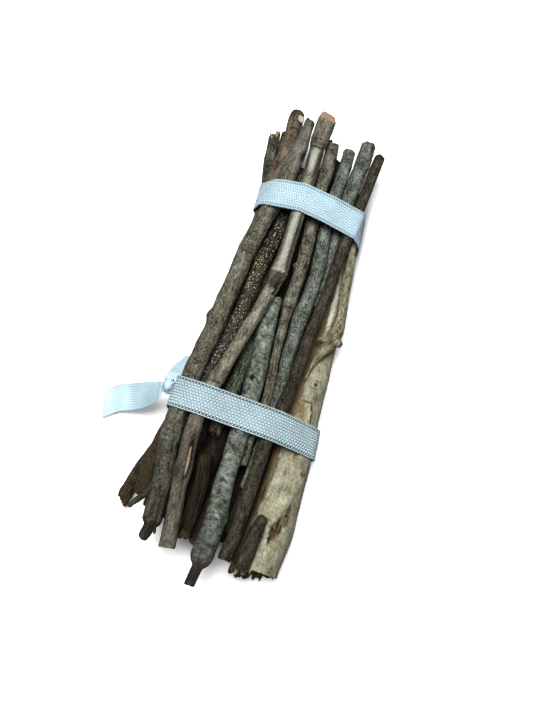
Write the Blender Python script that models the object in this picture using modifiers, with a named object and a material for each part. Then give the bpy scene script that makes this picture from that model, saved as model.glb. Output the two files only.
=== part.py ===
"""A bundle of cut twigs and one pale log, held by two knitted elastic bands and lying on a surface.

Metres, +Z up. The sticks run along Y, with their thin tops at +Y. Sizes below are in millimetres
and are turned to metres where the meshes are made. The lowest faces are the flat undersides of
the two bands, at z = 0.
"""

import math
from dataclasses import dataclass

import bmesh
import bpy
import numpy as np
from mathutils import Matrix, Vector

MM = 0.001

# The bands' elastic
BAND_THICKNESS = 0.9
BAND_GAP = 0.3
UPPER_BAND_Y, UPPER_BAND_WIDTH = 65.1, 13.2
LOWER_BAND_Y, LOWER_BAND_WIDTH = -28.3, 13.2
BAND_SIDES = 40
SECTION_REACH = 2.5
TAIL_THICKNESS = 0.9

# How the sticks are stacked
STICK_GAP = 0.35
STACK_STEP = 2.0
BEND_RADIUS = 500.0
SMOOTH_STEPS = 4
FLOOR = BAND_THICKNESS + BAND_GAP

# How finely the sticks are drawn
SEEN_STATION, HIDDEN_STATION = 12.0, 17.0
LEAST_STATION = 2.5
SEEN_SIDES, HIDDEN_SIDES, LOG_SIDES = 3, 2, 5
WELD = 1e-6


@dataclass(frozen=True)
class Swelling:
    """A knot or node: where along the stick, how much thicker, and over what half-length."""

    y: float
    extra: float
    half: float


@dataclass(frozen=True)
class Stub:
    """The short rest of a side branch, turned round the stick from +X towards +Z.

    It leans towards the stick's top, and its tip is this much of its radius.
    """

    y: float
    turn: float
    length: float
    radius: float
    lean: float = 35.0
    tip: float = 0.85


@dataclass(frozen=True)
class Notch:
    """A V cut across an end: its offset and roll round the stick's axis, its depth and width."""

    offset: float
    roll: float
    depth: float
    width: float


@dataclass(frozen=True)
class Twig:
    """A stick: plan points (x, y, radius) from top to butt, what grows on it, and how it ends."""

    name: str
    finish: str
    route: tuple
    sides: int = SEEN_SIDES
    station: float = SEEN_STATION
    swellings: tuple = ()
    stubs: tuple = ()
    top_cuts: tuple = ()
    butt_cuts: tuple = ()
    top_notches: tuple = ()
    butt_notches: tuple = ()


def hidden(name, finish, route):
    """A plain stick inside the bundle, of which only the ends and a few glimpses show."""
    return Twig(name, finish, route, sides=HIDDEN_SIDES, station=HIDDEN_STATION)


# Base colour and roughness of each kind of bark
FINISHES = {
    "grey_bark": ((0.21, 0.17, 0.13), 0.85),
    "tan_bark": ((0.27, 0.19, 0.13), 0.8),
    "brown_bark": ((0.16, 0.085, 0.05), 0.85),
    "speckled_bark": ((0.055, 0.04, 0.03), 0.7),
    "green_bark": ((0.15, 0.14, 0.09), 0.85),
    "lenticel_bark": ((0.24, 0.22, 0.18), 0.75),
    "lichen_bark": ((0.22, 0.22, 0.17), 0.85),
    "purple_bark": ((0.1, 0.06, 0.055), 0.8),
    "pale_wood": ((0.55, 0.4, 0.24), 0.8),
    "dark_bark": ((0.09, 0.06, 0.045), 0.9),
    "elastic": ((0.85, 0.88, 0.9), 0.9),
}

# The sticks in the order in which they lie on each other, the lowest first
TWIGS = (
    Twig(
        "far_left_twig",
        "grey_bark",
        (
            (-21.6, 84, 2.4),
            (-22, 65, 2.5),
            (-22.9, 30, 2.6),
            (-24.1, 0, 2.7),
            (-26.3, -28, 2.7),
            (-32, -48, 2.7),
            (-35.6, -62, 2.8),
            (-38.6, -77.5, 3.1),
        ),
        butt_cuts=((-0.7, 0.3, 1.2),),
        butt_notches=(Notch(0.2, 70, 3.0, 1.6),),
    ),
    hidden(
        "floor_twig_1",
        "dark_bark",
        ((-15.4, 86, 3.3), (-15.9, 65, 3.4), (-16.5, 20, 3.8), (-19.5, -28, 4.0), (-25, -75, 4.3)),
    ),
    hidden(
        "floor_twig_2",
        "grey_bark",
        ((-8.2, 84, 3.7), (-8.5, 65, 3.8), (-8.3, 20, 4.1), (-10.8, -28, 4.3), (-15.4, -77, 4.6)),
    ),
    hidden(
        "floor_twig_3",
        "brown_bark",
        ((-0.2, 86, 3.7), (-0.3, 65, 3.9), (0.3, 20, 4.1), (-1.6, -28, 4.4), (-5.6, -73, 4.7)),
    ),
    hidden(
        "floor_twig_4",
        "tan_bark",
        ((8.1, 88, 3.7), (8, 65, 3.9), (8.9, 20, 4.0), (7.5, -28, 4.2), (4.2, -78, 4.5)),
    ),
    Twig(
        "pale_log",
        "pale_wood",
        (
            (15.9, 78, 3.7),
            (16.8, 60, 4.4),
            (18.8, 37, 5.6),
            (20.6, 7, 6.8),
            (21.8, -21, 8.0),
            (23, -34, 8.5),
            (24, -56, 9.3),
            (24.1, -70, 9.7),
            (23.4, -87.8, 10.0),
        ),
        sides=LOG_SIDES,
        swellings=(Swelling(-30, 0.3, 6), Swelling(-66, 0.4, 9)),
        butt_cuts=((0.5, 0.25, 1.5),),
        butt_notches=(
            Notch(-5.4, 84, 3.4, 2.6),
            Notch(-1.2, 98, 2.4, 2.2),
            Notch(3.2, 80, 3.6, 2.4),
            Notch(6.8, 95, 2.0, 2.0),
        ),
    ),
    Twig(
        "thin_grey_twig",
        "grey_bark",
        ((-26.4, 103.5, 1.8), (-25.9, 98, 1.8), (-20.4, 65, 2.0), (-20.6, 35, 2.1)),
        station=HIDDEN_STATION,
        sides=HIDDEN_SIDES,
    ),
    Twig(
        "mossy_twig",
        "green_bark",
        (
            (-30.2, 99.5, 2.4),
            (-28.1, 86.5, 2.6),
            (-25.7, 75.5, 2.6),
            (-23.2, 66, 2.5),
            (-22, 45, 2.5),
            (-21, 10, 2.6),
        ),
        top_cuts=((0.9, 0.5, 0.4), (-0.6, 0.3, 1.3)),
        top_notches=(Notch(0.4, 90, 2.6, 1.3),),
    ),
    hidden(
        "middle_twig_1",
        "dark_bark",
        ((-12.1, 86, 3.4), (-12.4, 65, 3.5), (-12.5, 20, 3.8), (-15.3, -28, 4.0), (-20.2, -74, 4.2)),
    ),
    hidden(
        "middle_twig_2",
        "brown_bark",
        ((-4.2, 88, 3.5), (-4.4, 65, 3.7), (-4, 20, 3.9), (-6.2, -28, 4.1), (-10.4, -68, 4.3)),
    ),
    Twig(
        "russet_twig",
        "brown_bark",
        (
            (1.6, 95.5, 2.8),
            (3, 84, 3.3),
            (3.9, 65, 3.7),
            (4.6, 20, 3.9),
            (3, -28, 4.1),
            (-2.6, -83.5, 3.8),
        ),
        station=HIDDEN_STATION,
        top_cuts=((0.5, 0.5, 0.8),),
        butt_cuts=((-0.4, 0.5, 1.0),),
    ),
    hidden(
        "middle_twig_3",
        "grey_bark",
        ((12, 84, 3.1), (12.1, 65, 3.2), (12.1, 20, 3.1), (11.4, -28, 3.1), (9.4, -74, 3.1)),
    ),
    Twig(
        "brown_twig",
        "brown_bark",
        (
            (-23.6, 109.5, 3.1),
            (-22, 101, 3.2),
            (-21.6, 92, 3.1),
            (-22.4, 82, 3.0),
            (-22.7, 73, 3.0),
            (-22.2, 55, 2.9),
            (-22.5, 20, 2.9),
            (-23.9, -5, 3.0),
            (-25.9, -28, 3.1),
            (-30.6, -54.5, 3.2),
            (-30.4, -72.5, 3.2),
        ),
        swellings=(Swelling(103, 0.45, 4),),
        stubs=(Stub(106, 72, 4.6, 1.6, 30),),
        top_cuts=((0.5, 0.3, 0.9), (-0.5, 0.3, 0.9)),
        butt_cuts=((0.7, 0.4, 1.0), (-0.7, 0.2, 0.8)),
    ),
    Twig(
        "pale_torn_twig",
        "pale_wood",
        (
            (17.5, 74, 1.7),
            (20.6, 51, 1.9),
            (22.1, 42, 2.1),
            (23.6, 33, 2.3),
            (24.6, 24.5, 2.4),
            (24.6, 18.5, 3.2),
            (23.7, 13.5, 3.0),
            (21.3, 8.5, 2.0),
            (19.5, 3.5, 1.1),
            (18.6, -3.5, 0.6),
        ),
        sides=HIDDEN_SIDES,
        stubs=(Stub(16.5, 20, 2.4, 1.7, -20), Stub(15, 150, 3.6, 1.3, -25)),
    ),
    Twig(
        "ridged_twig",
        "brown_bark",
        ((-9.6, -46.5, 2.4), (-9, -50, 3.0), (-7.8, -56, 3.1), (-7.1, -68, 3.1), (-7, -81.5, 2.6)),
        sides=HIDDEN_SIDES,
        top_cuts=((0.8, 0.5, 0.6), (-0.8, 0.5, 0.6)),
        butt_cuts=((0.8, 0.6, 1.0),),
    ),
    Twig(
        "blunt_grey_twig",
        "lichen_bark",
        (
            (12, 106.2, 3.2),
            (11.9, 96, 3.3),
            (11.6, 87, 3.3),
            (11.2, 79, 3.2),
            (11.1, 60, 2.5),
            (11.9, 50.5, 2.3),
            (12.7, 41.5, 2.1),
            (13.2, 26, 1.9),
        ),
        top_cuts=((0.35, 0.3, 0.8), (-0.4, 0.3, 0.8)),
    ),
    Twig(
        "speckled_twig",
        "speckled_bark",
        (
            (-12.8, 82, 2.6),
            (-13.3, 62, 2.8),
            (-13.1, 54.5, 3.0),
            (-13.7, 47, 3.3),
            (-14.7, 39.5, 3.5),
            (-15.5, 31, 3.4),
            (-15.4, 23, 3.4),
            (-15.6, 15, 3.4),
            (-16.6, 6, 3.3),
            (-17.8, -3, 3.2),
            (-19.4, -12, 3.2),
            (-20.8, -20.5, 3.2),
            (-22.5, -40, 3.1),
            (-22.8, -60, 3.0),
        ),
    ),
    hidden("propping_twig", "dark_bark", ((-4.6, 84, 2.9), (-5.4, 62, 3.2), (-6.6, 35, 3.2), (-7, 16, 3.0))),
    Twig(
        "lichen_twig",
        "lichen_bark",
        (
            (4.8, 99, 2.6),
            (5.4, 91, 2.7),
            (5.4, 82.5, 2.7),
            (6.1, 59, 2.7),
            (7.7, 50, 3.0),
            (9.2, 39, 3.1),
            (9.2, 28, 3.1),
            (8.4, 19, 3.1),
            (8.7, 10, 2.9),
            (8.9, 0, 2.8),
            (9.9, -10.5, 2.7),
            (10.3, -19, 2.6),
            (10.4, -35, 2.6),
            (10, -55, 2.5),
        ),
        swellings=(Swelling(18, 0.35, 4),),
        top_cuts=((0.5, 0.4, 0.7), (-0.5, 0.4, 0.7)),
    ),
    Twig(
        "slim_grey_twig",
        "grey_bark",
        (
            (-3, 97.8, 2.6),
            (-1.7, 89.5, 2.8),
            (-1.3, 80, 2.8),
            (0.3, 57.5, 2.8),
            (1.6, 45.5, 2.8),
            (2.3, 34, 2.7),
            (2.3, 23.5, 2.4),
            (2.6, 15, 2.0),
            (3.4, 6, 2.0),
            (4.2, -3, 1.9),
            (5.7, -12, 1.9),
            (6.5, -19.5, 1.9),
            (5.5, -36.5, 1.8),
            (6.1, -47, 1.8),
        ),
        swellings=(Swelling(22.5, 0.45, 3),),
        stubs=(Stub(37, 140, 3.6, 1.3, 40),),
        top_cuts=((0.3, 0.6, 0.6),),
        top_notches=(Notch(-0.4, 80, 2.4, 1.3),),
    ),
    Twig(
        "green_twig",
        "green_bark",
        (
            (-6.9, 9, 2.8),
            (-7.3, 1.5, 2.9),
            (-7.6, -9, 3.0),
            (-8.4, -19, 3.0),
            (-9.2, -29, 3.0),
            (-9.8, -39, 2.8),
        ),
        butt_cuts=((-0.5, 0.9, 1.2),),
    ),
    Twig(
        "lenticel_twig",
        "lenticel_bark",
        (
            (-4, 22.5, 3.3),
            (-3.6, 15, 3.5),
            (-2.5, 4, 3.8),
            (-1, -8, 3.9),
            (0.2, -20, 3.9),
            (0.9, -37.5, 3.9),
            (1.2, -47, 3.9),
            (1.5, -55, 4.0),
            (2.3, -63, 4.1),
            (2.9, -72, 4.3),
            (3, -80, 4.4),
            (2.7, -86, 4.3),
            (2.5, -88.5, 3.6),
            (2.4, -89.5, 2.2),
            (1.6, -98, 2.1),
        ),
        swellings=(Swelling(-70, 0.35, 2.5), Swelling(-84, 0.4, 3)),
        butt_cuts=((0.15, 0.3, 0.4),),
    ),
    Twig(
        "grey_bark_twig",
        "grey_bark",
        (
            (-15.5, 105, 2.0),
            (-15.4, 94, 2.8),
            (-16.1, 83, 3.7),
            (-16.6, 71, 3.9),
            (-19.3, 56.5, 3.9),
            (-21.8, 38, 3.9),
            (-22.7, 19.5, 3.8),
            (-24, -3.5, 3.8),
            (-25.4, -20.5, 3.8),
            (-25.5, -33, 3.8),
            (-24.8, -43, 3.9),
            (-23.9, -51, 3.9),
            (-22.3, -59, 4.0),
            (-21.4, -67, 4.0),
            (-20.8, -74, 4.0),
            (-20, -79.5, 3.8),
            (-20.4, -81, 2.2),
            (-21.6, -87.5, 2.0),
        ),
        swellings=(Swelling(6, 0.35, 3), Swelling(-43, 0.4, 4), Swelling(88, 0.3, 3)),
        stubs=(Stub(-63.5, 190, 12.4, 1.6, -49, 0.5),),
        top_cuts=((0.5, 0.4, 0.5),),
        butt_cuts=((0.5, 0.3, 0.6),),
    ),
    Twig(
        "zigzag_twig",
        "tan_bark",
        (
            (-8, 109.5, 3.3),
            (-8.1, 102.5, 4.0),
            (-8.4, 94, 3.9),
            (-8.1, 90, 3.2),
            (-7.5, 81.5, 3.1),
            (-7.1, 74.5, 3.0),
            (-6.4, 58.5, 3.0),
            (-5.6, 42, 3.0),
            (-5.4, 33.5, 3.2),
            (-5.6, 28, 3.0),
            (-6.4, 23, 2.8),
            (-8.5, 11.5, 2.7),
            (-11.1, -0.5, 2.7),
            (-13.6, -12, 2.8),
            (-15, -18.5, 2.9),
            (-16.5, -24.5, 3.0),
            (-17.2, -34, 3.2),
            (-16.8, -43.5, 3.3),
            (-15.8, -50.5, 3.2),
            (-15, -57.5, 3.3),
            (-14.1, -64.5, 3.0),
            (-12.6, -74, 3.1),
            (-10.8, -87, 3.3),
        ),
        swellings=(Swelling(31.5, 0.6, 2.2), Swelling(-17.5, 0.35, 2.2), Swelling(-55, 0.35, 3.5)),
        top_cuts=((0.15, 0.8, 1.6),),
        butt_cuts=((0.05, 0.1, 0.3),),
    ),
    Twig(
        "purple_twig",
        "purple_bark",
        (
            (18.3, 102, 2.2),
            (18.1, 93.5, 2.3),
            (17.8, 87, 2.3),
            (17.5, 79, 2.3),
            (16, 56.5, 2.4),
            (15.8, 46, 2.4),
            (15.8, 36.5, 2.3),
            (15.2, 24.5, 2.3),
            (14.8, 13.5, 2.4),
            (14.4, 1.5, 2.5),
            (14.4, -8.5, 2.5),
            (13.7, -19.5, 2.6),
            (11.8, -37.5, 2.8),
            (12.1, -49, 2.9),
            (12.2, -61.5, 2.9),
            (12.3, -72.5, 2.8),
            (11.4, -84, 2.7),
        ),
        top_cuts=((-0.6, 0.4, 0.6), (0.9, 0.2, 0.8)),
    ),
    Twig(
        "log_side_branch",
        "dark_bark",
        ((20.8, -62.5, 1.9), (19.8, -69, 2.8), (19.1, -76.5, 3.1), (18.3, -85.5, 3.3)),
        top_cuts=((0.9, 0.5, 0.5), (-0.9, 0.5, 0.5)),
    ),
)


def smooth(ys, values, y):
    """A smooth curve through values at rising ys, read at y."""
    ys = np.asarray(ys, float)
    values = np.asarray(values, float)
    slopes = np.gradient(values, ys)
    i = np.clip(np.searchsorted(ys, y) - 1, 0, len(ys) - 2)
    span = ys[i + 1] - ys[i]
    t = np.clip((y - ys[i]) / span, 0.0, 1.0)
    start = (1 + 2 * t) * (1 - t) ** 2
    leave = t * (1 - t) ** 2
    end = t * t * (3 - 2 * t)
    arrive = t * t * (t - 1)
    return start * values[i] + leave * span * slopes[i] + end * values[i + 1] + arrive * span * slopes[i + 1]


class Stick:
    """A twig with its height found: x, radius and z as functions of y."""

    def __init__(self, twig, below):
        self.twig = twig
        points = np.array(sorted(twig.route, key=lambda point: point[1]), float)
        self.ys = points[:, 1]
        self.xs = points[:, 0]
        self.radii = points[:, 2]
        self.y = np.linspace(self.ys[0], self.ys[-1], 1 + round((self.ys[-1] - self.ys[0]) / STACK_STEP))
        self.x = smooth(self.ys, self.xs, self.y)
        self.r = self.radius_at(self.y)
        self.z = self.laid_over(below)

    def radius_at(self, y):
        """The radius at y, with the swellings."""
        radius = smooth(self.ys, self.radii, y)
        for bump in self.twig.swellings:
            radius = radius + bump.extra * np.exp(-(((y - bump.y) / bump.half) ** 2))
        return radius

    def laid_over(self, below):
        """Heights at which the stick rests on the floor and on the sticks below, bending a little."""
        need = self.r + FLOOR
        for other in below:
            reach = self.r[:, None] + other.r[None] + STICK_GAP
            apart = (self.x[:, None] - other.x[None]) ** 2 + (self.y[:, None] - other.y[None]) ** 2
            rise = np.sqrt(np.maximum(reach**2 - apart, 0.0))
            height = np.where(apart < reach**2, other.z[None] + rise, 0.0)
            need = np.maximum(need, height.max(axis=1))
        away = self.y[:, None] - self.y[None]
        bent = (need[None] - away**2 / (2 * BEND_RADIUS)).max(axis=1)
        before = 2 * bent[0] - bent[SMOOTH_STEPS:0:-1]
        after = 2 * bent[-1] - bent[-2 : -SMOOTH_STEPS - 2 : -1]
        width = 2 * SMOOTH_STEPS + 1
        return np.convolve(np.concatenate([before, bent, after]), np.ones(width) / width, "valid")

    def centre(self, y):
        """The point of the centre line at y."""
        x = float(smooth(self.ys, self.xs, np.array([y]))[0])
        return Vector((x, y, float(np.interp(y, self.y, self.z))))

    def direction(self, y):
        """The centre line's direction at y, towards the top."""
        step = 1.0
        low = max(y - step, self.ys[0])
        high = min(y + step, self.ys[-1])
        return (self.centre(high) - self.centre(low)).normalized()

    def stations(self):
        """Where rings are drawn: at the route's points and the knots, and between those far apart."""
        marks = set(self.ys)
        for bump in self.twig.swellings:
            marks |= {bump.y - bump.half, bump.y, bump.y + bump.half}
        marks = sorted(mark for mark in marks if self.ys[0] <= mark <= self.ys[-1])
        kept = [marks[0]]
        for mark in marks[1:-1]:
            near_neck = abs(mark - kept[-1]) < LEAST_STATION and mark not in self.ys
            if not near_neck:
                kept.append(mark)
        kept.append(marks[-1])
        rings = []
        for low, high in zip(kept, kept[1:]):
            pieces = max(1, math.ceil((high - low) / self.twig.station - 0.2))
            rings += [low + (high - low) * i / pieces for i in range(pieces)]
        return rings + [kept[-1]]


def finish_material(name):
    """A plain Principled material for one finish."""
    if name in bpy.data.materials:
        return bpy.data.materials[name]
    material = bpy.data.materials.new(name)
    material.use_nodes = True
    shader = material.node_tree.nodes["Principled BSDF"]
    colour, roughness = FINISHES[name]
    shader.inputs["Base Color"].default_value = (*colour, 1.0)
    shader.inputs["Roughness"].default_value = roughness
    shader.inputs["Metallic"].default_value = 0.0
    return material


def add_object(name, mesh, collection):
    """A new object with this mesh in the collection."""
    obj = bpy.data.objects.new(name, mesh)
    collection.objects.link(obj)
    return obj


def hide_helper(obj):
    """Marks an object as a cutter or a joined-on shape that isn't a node."""
    obj.hide_render = True
    obj.display_type = "WIRE"
    return obj


def tube_mesh(name, points, radii, bevel_resolution):
    """A closed tube along the points (mm), made from a bevelled curve and welded."""
    curve = bpy.data.curves.new(name, "CURVE")
    curve.dimensions = "3D"
    curve.bevel_depth = MM
    curve.bevel_resolution = bevel_resolution
    curve.use_fill_caps = True
    spline = curve.splines.new("POLY")
    spline.points.add(len(points) - 1)
    for spot, point, radius in zip(spline.points, points, radii):
        spot.co = (*(point * MM), 1.0)
        spot.radius = radius
    guide = bpy.data.objects.new(name, curve)
    bpy.context.scene.collection.objects.link(guide)
    bpy.context.view_layer.update()
    evaluated = guide.evaluated_get(bpy.context.evaluated_depsgraph_get())
    mesh = bpy.data.meshes.new_from_object(evaluated)
    mesh.name = name
    bpy.data.objects.remove(guide)
    bpy.data.curves.remove(curve)
    shape = bmesh.new()
    shape.from_mesh(mesh)
    bmesh.ops.remove_doubles(shape, verts=shape.verts, dist=WELD)
    bmesh.ops.recalc_face_normals(shape, faces=shape.faces)
    shape.to_mesh(mesh)
    shape.free()
    return mesh


def cut_plane(mesh, point, normal):
    """Cuts off what lies beyond a plane (mm) and closes the cut."""
    shape = bmesh.new()
    shape.from_mesh(mesh)
    everything = shape.verts[:] + shape.edges[:] + shape.faces[:]
    bmesh.ops.bisect_plane(shape, geom=everything, plane_co=point * MM, plane_no=normal, clear_outer=True)
    rim = [edge for edge in shape.edges if edge.is_boundary]
    bmesh.ops.contextual_create(shape, geom=rim)
    bmesh.ops.recalc_face_normals(shape, faces=shape.faces)
    shape.to_mesh(mesh)
    shape.free()


def end_frame(stick, top):
    """The end's centre, the outward direction along the stick, and its sideways and upward directions."""
    y = stick.ys[-1] if top else stick.ys[0]
    outward = stick.direction(y) * (1 if top else -1)
    side = outward.cross(Vector((0, 0, 1))).normalized() * (1 if top else -1)
    return stick.centre(y), outward, side, Vector((0, 0, 1))


def slope_ends(stick, mesh):
    """Sawn or torn slopes at both ends, each (lean to +X, lean up, how far in from the end)."""
    for top, cuts in ((True, stick.twig.top_cuts), (False, stick.twig.butt_cuts)):
        centre, outward, side, up = end_frame(stick, top)
        for lean_side, lean_up, inset in cuts:
            cut_plane(mesh, centre - outward * inset, outward + side * lean_side + up * lean_up)


def add_boolean(obj, helper, operation):
    """A live Boolean of the object with a helper."""
    boolean = obj.modifiers.new(helper.name, "BOOLEAN")
    boolean.operation = operation
    boolean.object = helper
    boolean.solver = "EXACT"


def notch_helper(stick, top, notch, name, helpers):
    """A square bar standing on its edge across the end, which cuts the V."""
    centre, outward, side, up = end_frame(stick, top)
    turned = Matrix.Rotation(math.radians(notch.roll), 3, outward)
    along = turned @ side
    across = outward.cross(along).normalized()
    bar = bmesh.new()
    bmesh.ops.create_cube(bar, size=1.0)
    length = 4 * float(stick.radii.max())
    for vert in bar.verts:
        # The bar's section is a rhombus: its corners lie along the stick and across the notch.
        along_stick = (vert.co.x + vert.co.y) * notch.depth
        sideways = (vert.co.x - vert.co.y) * notch.width / 2
        place = centre + outward * along_stick + across * (notch.offset + sideways)
        vert.co = (place + along * vert.co.z * length) * MM
    bar.normal_update()
    bmesh.ops.recalc_face_normals(bar, faces=bar.faces)
    mesh = bpy.data.meshes.new(name)
    bar.to_mesh(mesh)
    bar.free()
    return hide_helper(add_object(name, mesh, helpers))


def stub_helper(stick, stub, name, helpers):
    """The short rest of a side branch, starting inside the stick."""
    centre = stick.centre(stub.y)
    along = stick.direction(stub.y)
    turn = math.radians(stub.turn)
    side = along.cross(Vector((0, 0, 1))).normalized()
    out = side * math.cos(turn) + Vector((0, 0, 1)) * math.sin(turn)
    lean = math.radians(stub.lean)
    way = (out * math.cos(lean) + along * math.sin(lean)).normalized()
    radius = float(stick.radius_at(np.array([stub.y]))[0])
    lengths = (0.0, radius * 0.7, radius + stub.length * 0.4, radius + stub.length)
    widths = (0.9, 1.25, 1.0, stub.tip)
    points = [centre + way * length for length in lengths]
    mesh = tube_mesh(name, points, [stub.radius * width for width in widths], HIDDEN_SIDES)
    return hide_helper(add_object(name, mesh, helpers))


def build_twig(stick, parts, helpers):
    """The stick's solid: a swept tube with sloped ends, side stubs joined on and notches cut out."""
    twig = stick.twig
    rings = stick.stations()
    points = [stick.centre(y) for y in rings]
    radii = stick.radius_at(np.array(rings))
    mesh = tube_mesh(twig.name, points, radii, twig.sides)
    slope_ends(stick, mesh)
    mesh.materials.append(finish_material(twig.finish))
    obj = add_object(twig.name, mesh, parts)
    for number, stub in enumerate(twig.stubs, 1):
        helper = stub_helper(stick, stub, f"{twig.name}_stub_{number}", helpers)
        add_boolean(obj, helper, "UNION")
    for top, notches in ((True, twig.top_notches), (False, twig.butt_notches)):
        end = "top" if top else "butt"
        for number, notch in enumerate(notches, 1):
            helper = notch_helper(stick, top, notch, f"{twig.name}_{end}_notch_{number}", helpers)
            add_boolean(obj, helper, "DIFFERENCE")
    return obj


def stretched_section(sticks, y, outward):
    """The convex outline (x, z) of a band stretched round the sticks at y, its flat foot on z = 0."""
    x, z, r = (
        np.concatenate([getattr(stick, key)[np.abs(stick.y - y) < SECTION_REACH] for stick in sticks])
        for key in ("x", "z", "r")
    )
    turns = [2 * math.pi * (i / BAND_SIDES) - math.pi / 2 for i in range(BAND_SIDES)]
    reach = [float((x * math.cos(turn) + z * math.sin(turn) + r).max()) + BAND_GAP for turn in turns]
    reach[0] = -BAND_THICKNESS
    corners = []
    for i, turn in enumerate(turns):
        after = (i + 1) % BAND_SIDES
        lines = np.array([[math.cos(angle), math.sin(angle)] for angle in (turn, turns[after])])
        corners.append(np.linalg.solve(lines, np.array([reach[i] + outward, reach[after] + outward])))
    return corners


def build_band(name, sticks, y, width, parts):
    """A band of elastic stretched round the sticks: a loft through three sections, closed at its rims."""
    shape = bmesh.new()
    rings = []
    for outward in (0.0, BAND_THICKNESS):
        walls = []
        for place in (-0.5, 0.0, 0.5):
            at = y + place * width
            section = stretched_section(sticks, at, outward)
            walls.append([shape.verts.new((px * MM, at * MM, pz * MM)) for px, pz in section])
        rings.append(walls)
    inner, outer = rings
    strips = [(inner[0], inner[1]), (inner[1], inner[2]), (inner[2], outer[2])]
    strips += [(outer[2], outer[1]), (outer[1], outer[0]), (outer[0], inner[0])]
    for first, second in strips:
        for i in range(BAND_SIDES):
            after = (i + 1) % BAND_SIDES
            shape.faces.new((first[i], first[after], second[after], second[i]))
    bmesh.ops.recalc_face_normals(shape, faces=shape.faces)
    mesh = bpy.data.meshes.new(name)
    shape.to_mesh(mesh)
    shape.free()
    mesh.materials.append(finish_material("elastic"))
    return add_object(name, mesh, parts)


# The knot on the left shoulder of the lower band: centre, half sizes, and the wrap round it
KNOT_CENTRE = Vector((-33.2, -26.4, 25.0))
KNOT_HALF = Vector((2.1, 4.0, 3.8))
KNOT_WRAP_RADIUS, KNOT_WRAP_THICK = 2.4, 1.0

# The free ends of the elastic, as pairs of points on their two edges, from the knot outwards
LONG_TAIL = (
    ((-35.9, -25.2, 23.5), (-35.2, -31.2, 22.5)),
    ((-39.0, -25.4, 20.0), (-37.4, -34.4, 18.5)),
    ((-45.2, -26.7, 13.5), (-41.4, -37.0, 12.5)),
    ((-51.9, -28.3, 7.0), (-47.3, -39.3, 6.5)),
    ((-57.8, -30.3, 3.2), (-53.5, -41.5, 3.0)),
    ((-62.5, -34.7, 1.3), (-59.5, -46.1, 1.1)),
)
TUCKED_TAIL = (
    ((-34.6, -21.2, 26.4), (-32.2, -21.0, 27.0)),
    ((-34.9, -19.4, 25.0), (-31.6, -18.8, 25.6)),
    ((-34.3, -17.2, 23.5), (-30.9, -16.2, 24.2)),
    ((-33.0, -14.7, 22.0), (-30.2, -13.1, 22.6)),
    ((-31.8, -11.9, 20.6), (-29.8, -10.2, 21.2)),
)


def build_knot(parts, helpers):
    """The knot: a squeezed lump of elastic with one turn wrapped round it."""
    mesh = bpy.data.meshes.new("band_knot")
    lump = bmesh.new()
    bmesh.ops.create_uvsphere(lump, u_segments=14, v_segments=9, radius=1.0)
    for vert in lump.verts:
        vert.co = (KNOT_CENTRE + Vector(vert.co[i] * KNOT_HALF[i] for i in range(3))) * MM
    lump.to_mesh(mesh)
    lump.free()
    mesh.materials.append(finish_material("elastic"))
    knot = add_object("band_knot", mesh, parts)
    bpy.ops.mesh.primitive_torus_add(
        major_segments=16,
        minor_segments=7,
        major_radius=KNOT_WRAP_RADIUS * MM,
        minor_radius=KNOT_WRAP_THICK * MM,
    )
    wrap = bpy.context.active_object
    wrap.name = "band_knot_wrap"
    for collection in wrap.users_collection:
        collection.objects.unlink(wrap)
    helpers.objects.link(wrap)
    wrap.location = KNOT_CENTRE * MM
    wrap.rotation_euler = (math.radians(62), 0.0, math.radians(12))
    wrap.scale = (0.8, 1.15, 1.2)
    hide_helper(wrap)
    add_boolean(knot, wrap, "UNION")
    return knot


def build_tail(name, edges, parts):
    """A flat strip of elastic between two edges, given its thickness by Solidify."""
    shape = bmesh.new()
    rows = []
    for first, second in edges:
        middle = (Vector(first) + Vector(second)) / 2
        rows.append([shape.verts.new(Vector(point) * MM) for point in (first, middle, second)])
    for first, second in zip(rows, rows[1:]):
        for i in range(2):
            shape.faces.new((first[i], first[i + 1], second[i + 1], second[i]))
    bmesh.ops.recalc_face_normals(shape, faces=shape.faces)
    mesh = bpy.data.meshes.new(name)
    shape.to_mesh(mesh)
    shape.free()
    mesh.materials.append(finish_material("elastic"))
    tail = add_object(name, mesh, parts)
    wall = tail.modifiers.new("strip", "SOLIDIFY")
    wall.thickness = TAIL_THICKNESS * MM
    wall.offset = 0.0
    return tail


def centre_on_origin(parts, helpers):
    """Moves everything so that the origin is at the middle of the box's underside."""
    bpy.context.view_layer.update()
    graph = bpy.context.evaluated_depsgraph_get()
    low = Vector((math.inf,) * 3)
    high = Vector((-math.inf,) * 3)
    for obj in parts.objects:
        evaluated = obj.evaluated_get(graph)
        mesh = evaluated.to_mesh()
        for vert in mesh.vertices:
            for i in range(3):
                low[i] = min(low[i], vert.co[i])
                high[i] = max(high[i], vert.co[i])
        evaluated.to_mesh_clear()
    move = Vector((-(low.x + high.x) / 2, -(low.y + high.y) / 2, -low.z))
    for obj in (*parts.objects, *helpers.objects):
        obj.location += move


def shade(parts):
    """Smooth shading with sharp edges at the cut ends."""
    for obj in parts.objects:
        obj.data.shade_smooth()
        obj.data.set_sharp_from_angle(angle=math.radians(40))


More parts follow.
